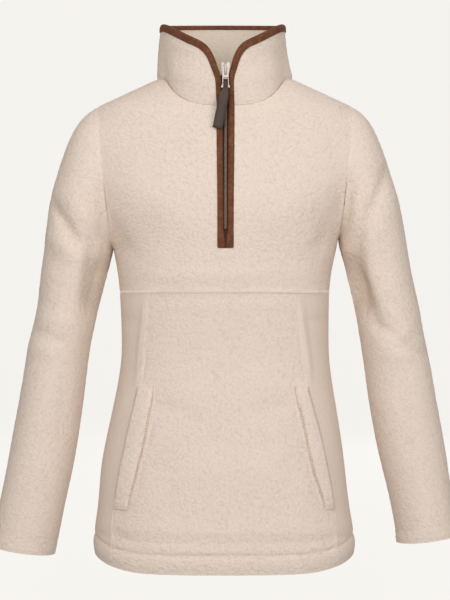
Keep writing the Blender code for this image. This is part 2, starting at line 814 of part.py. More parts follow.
# Section of the binding: distance into the cloth, side of the cloth, distance off its face.
BINDING_SECTION_COLUMNS = ("inward", "side", "off")
BINDING_SECTION = [
    (7.2, 1, 0.35),
    (7.2, 1, 1.55),
    (3.6, 1, 1.85),
    (0.2, 1, 1.60),
    (-1.55, 1, -0.60),
    (-1.55, -1, -0.60),
    (0.2, -1, 1.75),
    (2.6, -1, 1.75),
    (5.0, -1, 1.75),
    (5.0, -1, 0.55),
    (2.6, -1, 0.55),
    (-0.35, -1, 0.55),
    (-0.35, 1, 0.35),
    (3.6, 1, 0.35),
]


def collar_spread(walk):
    """The binding lies wider on the collar's rolled edge than beside the zip."""
    distance = abs(collar_base(walk).x - ZIP_X)
    return 1.0 + 0.3 * smooth_step(6 * MM, 22 * MM, distance)


def binding_piece(material, collection):
    stations = edge_stations()
    edge = [surface(first, second) for surface, first, second in stations]
    frames = []
    for k, (surface, first, second) in enumerate(stations):
        along = (edge[min(k + 1, len(edge) - 1)] - edge[max(k - 1, 0)]).normalized()
        second_step = 0.5 * MM if surface is body_edge else 0.01
        first_run = (surface(first + 0.5, second) - surface(first - 0.5, second)) / 1.0
        second_run = (surface(first, second + second_step) - surface(first, second - second_step))
        second_run /= 2 * second_step
        facing = surface(first, second) - surface(first, second, 1.0)
        inward = facing.cross(along).normalized()
        frames.append((inward, first_run, second_run))

    def place(k, i):
        section = dict(zip(BINDING_SECTION_COLUMNS, BINDING_SECTION[i]))
        surface, first, second = stations[k]
        inward, first_run, second_run = frames[k]
        narrow = surface is body_edge or section["inward"] < 1.0 or section["side"] < 0
        spread = 1.0 if narrow else collar_spread(first)
        step = inward * (section["inward"] * spread * MM)
        a, b, c = first_run.dot(first_run), first_run.dot(second_run), second_run.dot(second_run)
        p, q = first_run.dot(step), second_run.dot(step)
        span = a * c - b * b
        depth = -section["off"] * MM if section["side"] > 0 else FLEECE + section["off"] * MM
        return surface(first + (c * p - b * q) / span, second + (a * q - b * p) / span, depth)

    shell = bmesh.new()
    count = len(BINDING_SECTION)
    made = bmesh.ops.create_grid(shell, x_segments=count, y_segments=len(frames) - 1, size=1.0)["verts"]
    half = max(vert.co.x for vert in made)
    for vert in made:
        i = round((vert.co.x / half + 1) / 2 * count) % count
        k = round((1 - vert.co.y / half) / 2 * (len(frames) - 1))
        vert.co = place(k, i)
    bmesh.ops.remove_doubles(shell, verts=shell.verts, dist=0.000001)
    bmesh.ops.holes_fill(shell, edges=[edge for edge in shell.edges if edge.is_boundary], sides=0)
    bmesh.ops.recalc_face_normals(shell, faces=shell.faces)
    mesh = bpy.data.meshes.new("binding")
    shell.to_mesh(mesh)
    shell.free()
    return finish_object("binding", mesh, material, collection, 60.0)


def front_skin(x, z, depth=0.0):
    """The garment's front face beside the zip, from the body up into the collar."""
    if z <= NECK_FRONT_DROP:
        point = torso(-1, angle_at(-1, x, z), z, depth)
        point.x = x
        return point
    share = 0.5
    walk = 0.0
    for step in range(6):
        base = collar_base(walk % 360.0)
        top = collar_top(walk % 360.0)
        share = (z - base.z) / (top.z - base.z)
        here = base + (top - base) * share
        walk -= math.degrees((x - here.x) / abs(here.y))
    point = collar(walk % 360.0, share, depth)
    point.x = x
    return point


TAPE_DEPTH = 5.3 * MM
TAPE_LOW_Z = -240.0 * MM
TAPE_TOP_Z = -5.0 * MM
CHAIN_LOW_Z = -221.0 * MM
CHAIN_TOP_Z = -1.0 * MM
CHAIN_HALF_WIDTH = 2.35 * MM
CHAIN_DEPTH = 2.2 * MM
CHAIN_THICKNESS = 2.4 * MM


def zip_heights(low, top, rows):
    """Even heights, with two close together at the neck seam, where the front bends."""
    heights = [low + (top - low) * k / (rows - 1) for k in range(rows)]
    nearest = min(range(1, rows - 1), key=lambda k: abs(heights[k] - NECK_FRONT_DROP))
    bend = [NECK_FRONT_DROP - 0.35 * MM, NECK_FRONT_DROP + 0.35 * MM]
    return heights[:nearest] + bend + heights[nearest + 1:]


def zip_strip(name, left, right, low, top, depth, thickness, material, collection):
    rows = 18
    heights = zip_heights(low, top, rows)

    def place(i, j, inner):
        x = left + (right - left) * i / 2
        return front_skin(x, heights[j], depth + (thickness if inner else 0.0))

    return cloth_wall(name, 2, rows, place, material, collection)


# Outline of the slider's front plate, from its lower end up one side, with a lobe on each side.
PLATE_COLUMNS = ("across", "up")
PLATE_OUTLINE = [
    (4.0, -11.5), (4.4, -5.0), (5.6, 2.0), (6.1, 7.0), (6.0, 10.5),
    (4.8, 12.4), (3.2, 12.4), (2.2, 10.6), (1.4, 9.4),
]
PLATE_FRONT = -3.9 * MM
PLATE_BACK = -2.3 * MM
PIVOT_UP = 5.2 * MM
PIVOT_OUT = -5.2 * MM
SLIDER_Z = 1.0 * MM


def garment_frame():
    """Place and lean of the slider on the zip."""
    low = front_skin(ZIP_X, SLIDER_Z - 10 * MM)
    top = front_skin(ZIP_X, SLIDER_Z + 10 * MM)
    lean = math.atan2(low.y - top.y, top.z - low.z)
    return front_skin(ZIP_X, SLIDER_Z), lean


def outline_plate(name, outline, back, front):
    """A flat closed outline in the XZ plane, drawn as a curve and made a mesh."""
    curve = bpy.data.curves.new(name, "CURVE")
    curve.dimensions = "2D"
    curve.fill_mode = "BOTH"
    curve.extrude = (back - front) / 2
    points = outline + [(-across, up) for across, up in reversed(outline)]
    spline = curve.splines.new("POLY")
    spline.points.add(len(points) - 1)
    for knot, (across, up) in zip(spline.points, points):
        knot.co = (across * MM, up * MM, 0.0, 1.0)
    spline.use_cyclic_u = True
    return made_mesh(name, curve, back, front)


def made_mesh(name, curve, back=0.0, front=0.0):
    """The welded mesh of a curve; an outline is stood up between back and front."""
    holder = bpy.data.objects.new(name + "_curve", curve)
    bpy.context.scene.collection.objects.link(holder)
    bpy.context.view_layer.update()
    graph = bpy.context.evaluated_depsgraph_get()
    mesh = bpy.data.meshes.new_from_object(holder.evaluated_get(graph))
    bpy.data.objects.remove(holder)
    shell = bmesh.new()
    shell.from_mesh(mesh)
    bmesh.ops.remove_doubles(shell, verts=shell.verts, dist=0.00001)
    if back != front:
        for vert in shell.verts:
            vert.co = Vector((vert.co.x, (back + front) / 2 - vert.co.z, vert.co.y))
    bmesh.ops.recalc_face_normals(shell, faces=shell.faces)
    shell.to_mesh(mesh)
    shell.free()
    return mesh


def box_mesh(name, low, high):
    shell = bmesh.new()
    bmesh.ops.create_cube(shell, size=1.0)
    for vert in shell.verts:
        vert.co = Vector([(low[k] + high[k]) / 2 + vert.co[k] * (high[k] - low[k]) for k in range(3)])
    mesh = bpy.data.meshes.new(name)
    shell.to_mesh(mesh)
    shell.free()
    return mesh


def slider(material, collection, helpers):
    where, lean = garment_frame()
    plate = finish_object("slider", outline_plate("slider", PLATE_OUTLINE, PLATE_BACK, PLATE_FRONT),
                          material, collection, 35.0)
    bevel = plate.modifiers.new("soft rim", "BEVEL")
    bevel.width = 0.35 * MM
    bevel.segments = 2
    bevel.limit_method = "ANGLE"
    bevel.angle_limit = math.radians(50.0)

    bridge = bpy.data.curves.new("bridge", "CURVE")
    bridge.dimensions = "3D"
    bridge.bevel_depth = 1.05 * MM
    bridge.bevel_resolution = 2
    bridge.use_fill_caps = True
    path = [
        (-3.2, 8.6),
        (-5.6, 8.6),
        (-7.4, 7.6),
        (-7.9, 5.2),
        (-7.9, 0.0),
        (-7.2, -3.2),
        (-5.4, -4.5),
        (-3.2, -4.5),
    ]
    spline = bridge.splines.new("POLY")
    spline.points.add(len(path) - 1)
    for knot, (out, up) in zip(spline.points, path):
        knot.co = (0.0, out * MM, up * MM, 1.0)
    joined = [
        ("slider_bridge", made_mesh("slider_bridge", bridge)),
        (
            "slider_post",
            box_mesh("slider_post", (-1.3 * MM, -3.0 * MM, 2.0 * MM), (1.3 * MM, 7.3 * MM, 7.0 * MM)),
        ),
        (
            "slider_rear",
            box_mesh("slider_rear", (-4.6 * MM, 6.7 * MM, -10.0 * MM), (4.6 * MM, 7.9 * MM, 8.5 * MM)),
        ),
    ]
    plate.location = where
    plate.rotation_euler = (lean, 0.0, 0.0)
    for name, mesh in joined:
        cutter = bpy.data.objects.new(name, mesh)
        cutter.hide_render = True
        cutter.display_type = "WIRE"
        cutter.location = where
        cutter.rotation_euler = (lean, 0.0, 0.0)
        helpers.objects.link(cutter)
        union = plate.modifiers.new(name, "BOOLEAN")
        union.operation = "UNION"
        union.object = cutter
    return plate


# Pull tab rows from the pivot end down, with the columns that stay open in the middle.
TAB_COLUMNS = ("up", "half_width", "open_half_width", "open_below")
TAB_ROWS = [
    (0.95, 2.7, 1.2, False),
    (0.55, 3.9, 1.9, False),
    (-0.85, 4.3, 2.1, True),
    (-6.0, 4.3, 2.1, True),
    (-11.2, 4.3, 2.1, False),
    (-12.6, 4.3, 2.4, False),
    (-14.4, 4.3, 3.1, True),
    (-19.0, 4.4, 3.3, True),
    (-23.6, 4.6, 3.5, False),
    (-25.6, 5.4, 3.8, False),
    (-27.6, 6.5, 4.0, False),
    (-28.4, 5.9, 3.6, False),
]
TAB_THICKNESS = 1.5 * MM


def pull_tab(material, collection, pivot, lean):
    def place(i, j, inner):
        row = dict(zip(TAB_COLUMNS, TAB_ROWS[j]))
        across = (-row["half_width"], -row["open_half_width"], row["open_half_width"], row["half_width"])[i]
        return Vector((across * MM, TAB_THICKNESS / 2 * (1 if inner else -1), row["up"] * MM))

    def hole(i, j):
        return i == 1 and TAB_ROWS[j][3]

    tab = cloth_wall("pull_tab", 3, len(TAB_ROWS) - 1, place, material, collection, missing=hole, sharp=30.0)
    bevel = tab.modifiers.new("soft rim", "BEVEL")
    bevel.width = 0.28 * MM
    bevel.segments = 1
    bevel.limit_method = "ANGLE"
    bevel.angle_limit = math.radians(50.0)
    tab.location = pivot
    tab.rotation_euler = (lean, 0.0, 0.0)
    return tab


# The ribbon is followed from its front end up, over the tab's lower bar and down behind.
RIBBON_COLUMNS = ("along", "out", "half_width")
RIBBON_ROWS = [
    (-61.5, 0.62, 7.0), (-52.0, 0.62, 7.0), (-42.0, 0.66, 7.0), (-32.0, 0.70, 7.0),
    (-23.0, 0.85, 7.0), (-15.0, 1.10, 6.6), (-9.0, 1.35, 5.2), (-4.6, 1.50, 3.4),
    (-1.0, 1.50, 2.8), (0.35, 1.20, 2.7), (0.95, 0.55, 2.7), (1.05, 0.0, 2.7),
    (0.95, -0.55, 2.7), (0.35, -1.20, 2.7), (-1.0, -1.50, 2.8), (-4.6, -1.50, 3.4),
    (-9.0, -1.35, 5.2), (-15.0, -1.10, 6.6), (-23.0, -0.85, 7.0), (-32.0, -0.70, 7.0),
    (-42.0, -0.66, 7.0), (-52.0, -0.62, 7.0), (-60.5, -0.62, 7.0),
]
BAR_TOP = -23.6 * MM
RIBBON_LEAN = math.radians(11.5)
RIBBON_FORWARD = 0.165


def pull_tag(material, collection, pivot, lean):
    """A folded ribbon, placed from the pivot so that it swings with the tab."""
    def middle(k):
        row = dict(zip(RIBBON_COLUMNS, RIBBON_ROWS[k]))
        return Vector((row["along"] * MM, row["out"] * MM, 0.0))

    def place(i, j, inner):
        row = dict(zip(RIBBON_COLUMNS, RIBBON_ROWS[j]))
        run = (middle(min(j + 1, len(RIBBON_ROWS) - 1)) - middle(max(j - 1, 0))).normalized()
        off = RIBBON / 2 * (-1 if inner else 1)
        along = row["along"] * MM - run.y * off
        out = row["out"] * MM + run.x * off
        hang = max(0.0, -along - 5.0 * MM)
        across = (i / 3 * 2 - 1) * row["half_width"] * MM
        sway = math.sin(RIBBON_LEAN)
        return Vector((
            across * math.cos(RIBBON_LEAN) - hang * sway,
            -out - hang * RIBBON_FORWARD,
            BAR_TOP + along + max(0.0, min(1.0, hang / (10.0 * MM))) * across * -sway,
        ))

    tag = cloth_wall("pull_tag", 3, len(RIBBON_ROWS) - 1, place, material, collection, sharp=60.0)
    tag.location = pivot
    tag.rotation_euler = (lean, 0.0, 0.0)
    return tag


# Section of a pocket welt, from the pocket mouth inwards: share of its width and rise.
WELT_SECTION_COLUMNS = ("share", "rise")
WELT_SECTION = [(0.0, 1.6), (0.08, 3.2), (0.35, 4.0), (0.7, 3.4), (0.94, 2.2), (1.0, 1.2)]


def pocket_welt(name, side, material, collection):
    rows = 14
    column_name = "left" if side < 0 else "right"

    def place(i, j, inner):
        section = dict(zip(WELT_SECTION_COLUMNS, WELT_SECTION[i]))
        z = WELT_TOP + (WELT_BOTTOM - WELT_TOP) * j / rows
        outer = side * (PANEL_EDGE.at(column_name, z / MM) - 0.4) * MM
        inside = side * WELT_INNER.at(column_name, z / MM) * MM
        start = angle_at(-1, outer, z)
        end = angle_at(-1, inside, z)
        end_calm = min(1.0, 0.55 + 3.0 * min(j, rows - j) / rows)
        rise = section["rise"] * end_calm * MM
        angle = start + (end - start) * section["share"]
        return torso(-1, angle, z, -(0.35 * MM if inner else 0.35 * MM + rise))

    return cloth_wall(name, len(WELT_SECTION) - 1, rows, place, material, collection, sharp=60.0)


def empty_scene():
    for item in list(bpy.data.objects):
        bpy.data.objects.remove(item, do_unlink=True)


def main():
    empty_scene()
    garment = bpy.data.collections.new("pile_fleece_pullover")
    helpers = bpy.data.collections.new("slider_union_shapes")
    bpy.context.scene.collection.children.link(garment)
    bpy.context.scene.collection.children.link(helpers)

    fleece = surface_material("pile_fleece", "E6D6C4", 0.95)
    smooth_fleece = surface_material("short_pile_fleece", "DCCBB8", 0.95)
    suede = surface_material("brown_suede", "6B432F", 0.85)
    tape = surface_material("zip_tape", "5A4A3C", 0.9)
    coil = surface_material("zip_coil", "8C8073", 0.55)
    enamel = surface_material("cream_enamel", "E3D8C4", 0.35, 0.2)
    ribbon = surface_material("olive_ribbon", "3E362A", 0.85)

    front_upper(fleece, garment)
    front_lower(fleece, garment)
    side_panel("side_right", -1, smooth_fleece, garment)
    side_panel("side_left", 1, smooth_fleece, garment)
    back_panel(fleece, garment)
    sleeve_piece("sleeve_right", -1, fleece, garment)
    sleeve_piece("sleeve_left", 1, fleece, garment)
    collar_piece(fleece, garment)
    binding_piece(suede, garment)
    pocket_welt("pocket_welt_right", -1, fleece, garment)
    pocket_welt("pocket_welt_left", 1, fleece, garment)
    zip_strip("zip_tape_right", ZIP_X - 15.5 * MM, ZIP_X - 0.17 * MM, TAPE_LOW_Z, TAPE_TOP_Z,
              TAPE_DEPTH, TAPE, tape, garment)
    zip_strip("zip_tape_left", ZIP_X + 0.17 * MM, ZIP_X + 15.5 * MM, TAPE_LOW_Z, TAPE_TOP_Z,
              TAPE_DEPTH, TAPE, tape, garment)
    zip_strip("zip_chain", ZIP_X - CHAIN_HALF_WIDTH, ZIP_X + CHAIN_HALF_WIDTH, CHAIN_LOW_Z, CHAIN_TOP_Z,
              CHAIN_DEPTH, CHAIN_THICKNESS, coil, garment)
    slider(enamel, garment, helpers)
    where, lean = garment_frame()
    up = Vector((0.0, -math.sin(lean), math.cos(lean)))
    out = Vector((0.0, -math.cos(lean), -math.sin(lean)))
    pivot = where + up * PIVOT_UP - out * PIVOT_OUT
    pull_tab(enamel, garment, pivot, lean)
    pull_tag(ribbon, garment, pivot, lean)
    print("pull pivot", [round(value, 6) for value in pivot])


main()
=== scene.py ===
import math
import bpy
import bmesh
from mathutils import Matrix, Vector, noise
from mathutils.bvhtree import BVHTree
from mathutils.kdtree import KDTree


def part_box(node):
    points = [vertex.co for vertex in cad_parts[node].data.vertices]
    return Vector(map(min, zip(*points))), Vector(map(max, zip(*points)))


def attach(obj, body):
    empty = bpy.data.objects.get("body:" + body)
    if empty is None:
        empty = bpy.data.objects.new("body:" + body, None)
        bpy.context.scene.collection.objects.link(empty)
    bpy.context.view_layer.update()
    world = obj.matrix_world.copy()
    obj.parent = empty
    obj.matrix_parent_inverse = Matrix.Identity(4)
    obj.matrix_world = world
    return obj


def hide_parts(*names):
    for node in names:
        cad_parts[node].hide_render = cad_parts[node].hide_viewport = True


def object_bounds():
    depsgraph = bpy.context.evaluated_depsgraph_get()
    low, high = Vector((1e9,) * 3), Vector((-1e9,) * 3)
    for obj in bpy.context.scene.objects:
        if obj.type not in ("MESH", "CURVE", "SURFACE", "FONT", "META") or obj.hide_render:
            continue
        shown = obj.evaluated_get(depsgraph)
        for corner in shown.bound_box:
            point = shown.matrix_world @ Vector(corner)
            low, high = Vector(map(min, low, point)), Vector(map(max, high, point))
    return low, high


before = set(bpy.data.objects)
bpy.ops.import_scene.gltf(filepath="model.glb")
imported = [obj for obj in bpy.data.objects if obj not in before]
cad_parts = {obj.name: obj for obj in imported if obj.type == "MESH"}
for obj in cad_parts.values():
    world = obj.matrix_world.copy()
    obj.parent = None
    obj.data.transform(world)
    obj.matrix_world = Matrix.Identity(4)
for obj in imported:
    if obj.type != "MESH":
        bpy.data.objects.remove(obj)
cadLow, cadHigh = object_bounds()
mm = 0.001


def linear(hexText):
    # sRGB hex to the linear colour that the shader wants
    parts = [int(hexText[k:k + 2], 16) / 255 for k in (0, 2, 4)]
    return [c / 12.92 if c <= 0.04045 else ((c + 0.055) / 1.055) ** 2.4 for c in parts] + [1.0]


def add(tree, kind, settings=None, links=None):
    # one node: settings are properties or input values, links are input name to output socket
    node = tree.nodes.new("ShaderNode" + kind)
    for name, value in (settings or {}).items():
        if isinstance(name, str) and hasattr(node, name):
            setattr(node, name, value)
        else:
            node.inputs[name].default_value = value
    for name, socket in (links or {}).items():
        tree.links.new(socket, node.inputs[name])
    return node


def startMaterial(name, colour, roughness, metallic=0.0, ior=1.5):
    material = bpy.data.materials.new(name)
    material.use_nodes = True
    material.diffuse_color = linear(colour)
    shader = material.node_tree.nodes["Principled BSDF"]
    shader.inputs["Base Color"].default_value = linear(colour)
    shader.inputs["Roughness"].default_value = roughness
    shader.inputs["Metallic"].default_value = metallic
    if not metallic:
        shader.inputs["IOR"].default_value = ior
    return material, material.node_tree, shader


def ramp(tree, socket, stops):
    # stops are (place, hex colour)
    node = add(tree, "ValToRGB", links={"Fac": socket})
    while len(node.color_ramp.elements) < len(stops):
        node.color_ramp.elements.new(0.5)
    for element, (place, colour) in zip(node.color_ramp.elements, stops):
        element.position = place
        element.color = linear(colour)
    return node.outputs["Color"]


# Curled polyester pile, knitted, brushed and tumbled: matt small clumps, and painted shade that darkens the
# gaps between them, the low tufts and the troughs of creases.
def pileFleece(name, look):
    material, tree, shader = startMaterial(name, look["tip"], 0.95, ior=1.46)
    where = add(tree, "TexCoord").outputs["Object"]
    wander = add(tree, "TexNoise", {"Scale": 1 / (9 * mm), "Detail": 2.0}, {"Vector": where})
    shift = add(tree, "VectorMath", {"operation": "SCALE", "Scale": look["clump"] * 0.55 * mm},
                {0: wander.outputs["Color"]})
    moved = add(tree, "VectorMath", {"operation": "ADD"}, {0: where, 1: shift.outputs[0]})
    clumps = add(tree, "TexVoronoi", {"feature": "SMOOTH_F1", "Scale": 1 / (look["clump"] * mm),
                                      "Smoothness": 0.35, "Randomness": 1.0}, {"Vector": moved.outputs[0]})
    curls = add(tree, "TexNoise", {"Scale": 1 / (1.3 * mm), "Detail": 3.0, "Roughness": 0.65,
                                   "Distortion": 0.8}, {"Vector": where})
    patches = add(tree, "TexNoise", {"Scale": 1 / (45 * mm), "Detail": 3.0}, {"Vector": where})
    # painted shade: the gaps between clumps are coloured darker the farther they lie from a clump's middle
    paintedGapShade = add(tree, "Math", {"operation": "MULTIPLY_ADD", 1: look["gap"], 2: 0.0},
                {0: clumps.outputs["Distance"]})
    pile = add(tree, "Attribute", {"attribute_name": "pile"})
    lump = add(tree, "Math", {"operation": "SUBTRACT", 1: 0.5}, {0: pile.outputs["Fac"]})
    # painted shade: higher tufts lighter, lower tufts and crease troughs darker, read from the pile attribute
    shade = add(tree, "Math", {"operation": "MULTIPLY_ADD", 1: -look["lump"]},
                {0: lump.outputs[0], 2: paintedGapShade.outputs[0]})
    fuzz = add(tree, "Math", {"operation": "MULTIPLY_ADD", 1: 0.5},
               {0: curls.outputs["Fac"], 2: shade.outputs[0]})
    mottle = add(tree, "Math", {"operation": "MULTIPLY_ADD", 1: 0.12},
                 {0: patches.outputs["Fac"], 2: fuzz.outputs[0]})
    # the ramp's darker stops are painted shade, mixed with random curls and mottle
    colour = ramp(tree, mottle.outputs[0], [(0.2, look["tip"]), (0.5, look["body"]), (0.85, look["shadedRoot"])])
    tree.links.new(colour, shader.inputs["Base Color"])
    height = add(tree, "Math", {"operation": "MULTIPLY_ADD", 1: -1.0},
                 {0: clumps.outputs["Distance"], 2: curls.outputs["Fac"]})
    bump = add(tree, "Bump", {"Strength": look["bump"], "Distance": look["rise"] * mm},
               {"Height": height.outputs[0]})
    tree.links.new(bump.outputs["Normal"], shader.inputs["Normal"])
    shader.inputs["Specular IOR Level"].default_value = 0.2
    shader.inputs["Sheen Weight"].default_value = look["sheen"]
    shader.inputs["Sheen Roughness"].default_value = 0.55
    shader.inputs["Sheen Tint"].default_value = linear(look["tip"])
    return material


longPile = pileFleece("curled polyester pile fleece", {
    "tip": "F0E1D4", "body": "E9D8CA", "shadedRoot": "D5C3B2", "clump": 3.4, "gap": 0.33, "lump": 0.2,
    "bump": 0.6, "rise": 1.0, "sheen": 0.08})
# The same yarn sheared short for the side panels: a smooth matt nap with hardly any gaps.
shortPile = pileFleece("sheared short pile fleece", {
    "tip": "EBDCCF", "body": "E3D3C5", "shadedRoot": "D2C1B1", "clump": 1.8, "gap": 0.3, "lump": 0.1,
    "bump": 0.3, "rise": 0.5, "sheen": 0.08})
# The fleece's inner face, brushed flat.
innerPile = pileFleece("brushed fleece inner face", {
    "tip": "F0E3D4", "body": "E8D9C8", "shadedRoot": "D8C7B4", "clump": 2.6, "gap": 0.3, "lump": 0.1,
    "bump": 0.3, "rise": 0.6, "sheen": 0.1})


# Microfibre suede tape, brushed and folded over the edge: matt brown with a short uneven nap.
def brushedSuede():
    material, tree, shader = startMaterial("brushed microfibre suede", "683C22", 0.86, ior=1.5)
    where = add(tree, "TexCoord").outputs["Object"]
    nap = add(tree, "TexNoise", {"Scale": 1 / (1.1 * mm), "Detail": 4.0, "Roughness": 0.7},
              {"Vector": where})
    strokes = add(tree, "TexNoise", {"Scale": 1 / (7 * mm), "Detail": 3.0, "Distortion": 1.2},
                  {"Vector": where})
    mix = add(tree, "Math", {"operation": "MULTIPLY_ADD", 1: 0.5},
              {0: nap.outputs["Fac"], 2: strokes.outputs["Fac"]})
    colour = ramp(tree, mix.outputs[0], [(0.4, "50290F"), (0.75, "683A1F"), (1.0, "7E5032")])
    tree.links.new(colour, shader.inputs["Base Color"])
    bump = add(tree, "Bump", {"Strength": 0.5, "Distance": 0.25 * mm}, {"Height": nap.outputs["Fac"]})
    tree.links.new(bump.outputs["Normal"], shader.inputs["Normal"])
    shader.inputs["Sheen Weight"].default_value = 0.2
    shader.inputs["Sheen Roughness"].default_value = 0.4
    shader.inputs["Sheen Tint"].default_value = linear("A06A4B")
    return material


# Plain-woven polyester: threads over and under, at the given spacing in mm, coarser than real so they show.
def wovenTape(name, colour, dark, thread):
    material, tree, shader = startMaterial(name, colour, 0.7, ior=1.5)
    where = add(tree, "TexCoord").outputs["Object"]
    bands = {"Scale": 1 / (thread * mm * 3.2), "Distortion": 0.6, "Detail": 1.0}
    across = add(tree, "TexWave", {"bands_direction": "X", **bands}, {"Vector": where})
    along = add(tree, "TexWave", {"bands_direction": "Z", **bands}, {"Vector": where})
    weave = add(tree, "Math", {"operation": "MULTIPLY"},
                {0: across.outputs["Fac"], 1: along.outputs["Fac"]})
    colourNode = ramp(tree, weave.outputs[0], [(0.0, dark), (0.6, colour)])
    tree.links.new(colourNode, shader.inputs["Base Color"])
    bump = add(tree, "Bump", {"Strength": 0.5, "Distance": thread * 0.3 * mm}, {"Height": weave.outputs[0]})
    tree.links.new(bump.outputs["Normal"], shader.inputs["Normal"])
    return material


# Spun sewing thread: soft gloss, with a twist drawn coarser than real so that it shows.
def sewingThread(name, colour, dark):
    material, tree, shader = startMaterial(name, colour, 0.6, ior=1.5)
    where = add(tree, "TexCoord").outputs["Object"]
    ply = add(tree, "TexNoise", {"Scale": 1 / (0.8 * mm), "Detail": 2.0}, {"Vector": where})
    plyColour = ramp(tree, ply.outputs["Fac"], [(0.35, dark), (0.65, colour)])
    tree.links.new(plyColour, shader.inputs["Base Color"])
    bump = add(tree, "Bump", {"Strength": 0.4, "Distance": 0.15 * mm}, {"Height": ply.outputs["Fac"]})
    tree.links.new(bump.outputs["Normal"], shader.inputs["Normal"])
    shader.inputs["Sheen Weight"].default_value = 0.2
    return material


# Drawn nylon, coiled and heat-set: smooth, a little translucent, faint gloss on each turn.
def coiledNylon():
    material, tree, shader = startMaterial("drawn nylon coil", "BDAEA2", 0.38, ior=1.53)
    where = add(tree, "TexCoord").outputs["Object"]
    wear = add(tree, "TexNoise", {"Scale": 1 / (3 * mm), "Detail": 2.0}, {"Vector": where})
    wornColour = ramp(tree, wear.outputs["Fac"], [(0.3, "9C8878"), (0.7, "C8B2A1")])
    tree.links.new(wornColour, shader.inputs["Base Color"])
    gloss = add(tree, "MapRange", {"To Min": 0.3, "To Max": 0.5}, {"Value": wear.outputs["Fac"]})
    tree.links.new(gloss.outputs[0], shader.inputs["Roughness"])
    shader.inputs["Subsurface Weight"].default_value = 0.1
    shader.inputs["Subsurface Radius"].default_value = (0.001, 0.001, 0.0008)
    return material


# Cast zinc dipped in cream enamel: smooth glossy skin, thinner and browner on rubbed edges.
def creamEnamel():
    material, tree, shader = startMaterial("cream enamelled zinc", "E5D7CC", 0.3, ior=1.52)
    where = add(tree, "TexCoord").outputs["Object"]
    ripple = add(tree, "TexNoise", {"Scale": 1 / (2.5 * mm), "Detail": 2.0}, {"Vector": where})
    edges = add(tree, "NewGeometry")
    worn = add(tree, "MapRange", {"From Min": 0.53, "From Max": 0.62},
               {"Value": edges.outputs["Pointiness"]})
    base = ramp(tree, ripple.outputs["Fac"], [(0.3, "DCCDC1"), (0.7, "EADDD3")])
    rubbed = add(tree, "Mix", {"data_type": "RGBA"}, {"Factor": worn.outputs[0]})
    tree.links.new(base, rubbed.inputs[6])
    rubbed.inputs[7].default_value = linear("CBB9AC")
    tree.links.new(rubbed.outputs[2], shader.inputs["Base Color"])
    bump = add(tree, "Bump", {"Strength": 0.15, "Distance": 0.2 * mm}, {"Height": ripple.outputs["Fac"]})
    tree.links.new(bump.outputs["Normal"], shader.inputs["Normal"])
    shader.inputs["Coat Weight"].default_value = 0.3
    shader.inputs["Coat Roughness"].default_value = 0.15
    return material


suede = brushedSuede()
tapeWeave = wovenTape("woven polyester zip tape", "684633", "432B1D", 0.6)
ribbonWeave = wovenTape("woven satin ribbon", "605145", "3F332A", 0.7)
creamThread = sewingThread("spun polyester thread, cream", "FCF4EB", "F2E7DC")
strawThread = sewingThread("spun polyester thread, straw", "D2B183", "B08C5C")
brownThread = sewingThread("spun polyester thread, brown", "7A4B33", "4E2D1C")
nylon = coiledNylon()
enamel = creamEnamel()
print("materials made:", len(bpy.data.materials))


sharpBend = math.radians(50)  # faces that meet at more than this make an edge of the real piece


def splitFaces(bm):
    # groups of faces that meet smoothly, largest area first
    groups, seen = [], set()
    for first in bm.faces:
        if first in seen:
            continue
        seen.add(first)
        group = [first]
        for face in group:
            for edge in face.edges:
                if len(edge.link_faces) == 2 and edge.calc_face_angle(0) < sharpBend:
                    for other in edge.link_faces:
                        if other not in seen:
                            seen.add(other)
                            group.append(other)
        groups.append(group)
    return sorted(groups, key=lambda group: -sum(face.calc_area() for face in group))


def fromNode(name):
    # welded quads of a CAD node, in a new bmesh
    bm = bmesh.new()
    bm.from_mesh(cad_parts[name].data)
    bmesh.ops.remove_doubles(bm, verts=bm.verts, dist=0.001 * mm)
    bmesh.ops.join_triangles(bm, faces=bm.faces, angle_face_threshold=math.radians(40),
                             angle_shape_threshold=math.radians(60))
    return bm


def newObject(name, bm, *materials):
    # turns the bmesh into a smooth-shaded object at the origin
    mesh = bpy.data.meshes.new(name)
    bm.to_mesh(mesh)
    bm.free()
    for material in materials:
        mesh.materials.append(material)
    mesh.polygons.foreach_set("use_smooth", [True] * len(mesh.polygons))
    piece = bpy.data.objects.new(name, mesh)
    bpy.context.scene.collection.objects.link(piece)
    return piece


def smoothed(name, bm, levels, crease):
    # subdivision surface, applied; crease says how crisp its sharp edges stay
    sharp = bm.edges.layers.float.new("crease_edge")
    for edge in bm.edges:
        if len(edge.link_faces) == 2 and edge.calc_face_angle(0) > sharpBend:
            edge[sharp] = crease
    piece = newObject(name, bm)
    finer = piece.modifiers.new("finer", "SUBSURF")
    finer.levels = finer.render_levels = levels
    bpy.context.view_layer.update()
    mesh = bpy.data.meshes.new_from_object(piece.evaluated_get(bpy.context.evaluated_depsgraph_get()))
    bpy.data.objects.remove(piece)
    bm = bmesh.new()
    bm.from_mesh(mesh)
    bpy.data.meshes.remove(mesh)
    return bm


def easeIn(low, high, value):
    # 0 at low to 1 at high without a kink, also where low is the larger
    t = min(1.0, max(0.0, (value - low) / (high - low)))
    return t * t * (3 - 2 * t)


def nearTree(points):
    tree = KDTree(len(points))
    for k, point in enumerate(points):
        tree.insert(point, k)
    tree.balance()
    return tree


# How a crease runs out: past its ends and within them as shares of its length, sideways in half breadths,
# the least that the cloth has to face its side, and how fast it takes the crease as it turns to that side.
runOut = {"past": 0.2, "within": 0.25, "sideways": 3, "least": 0.05, "gain": 2.2}


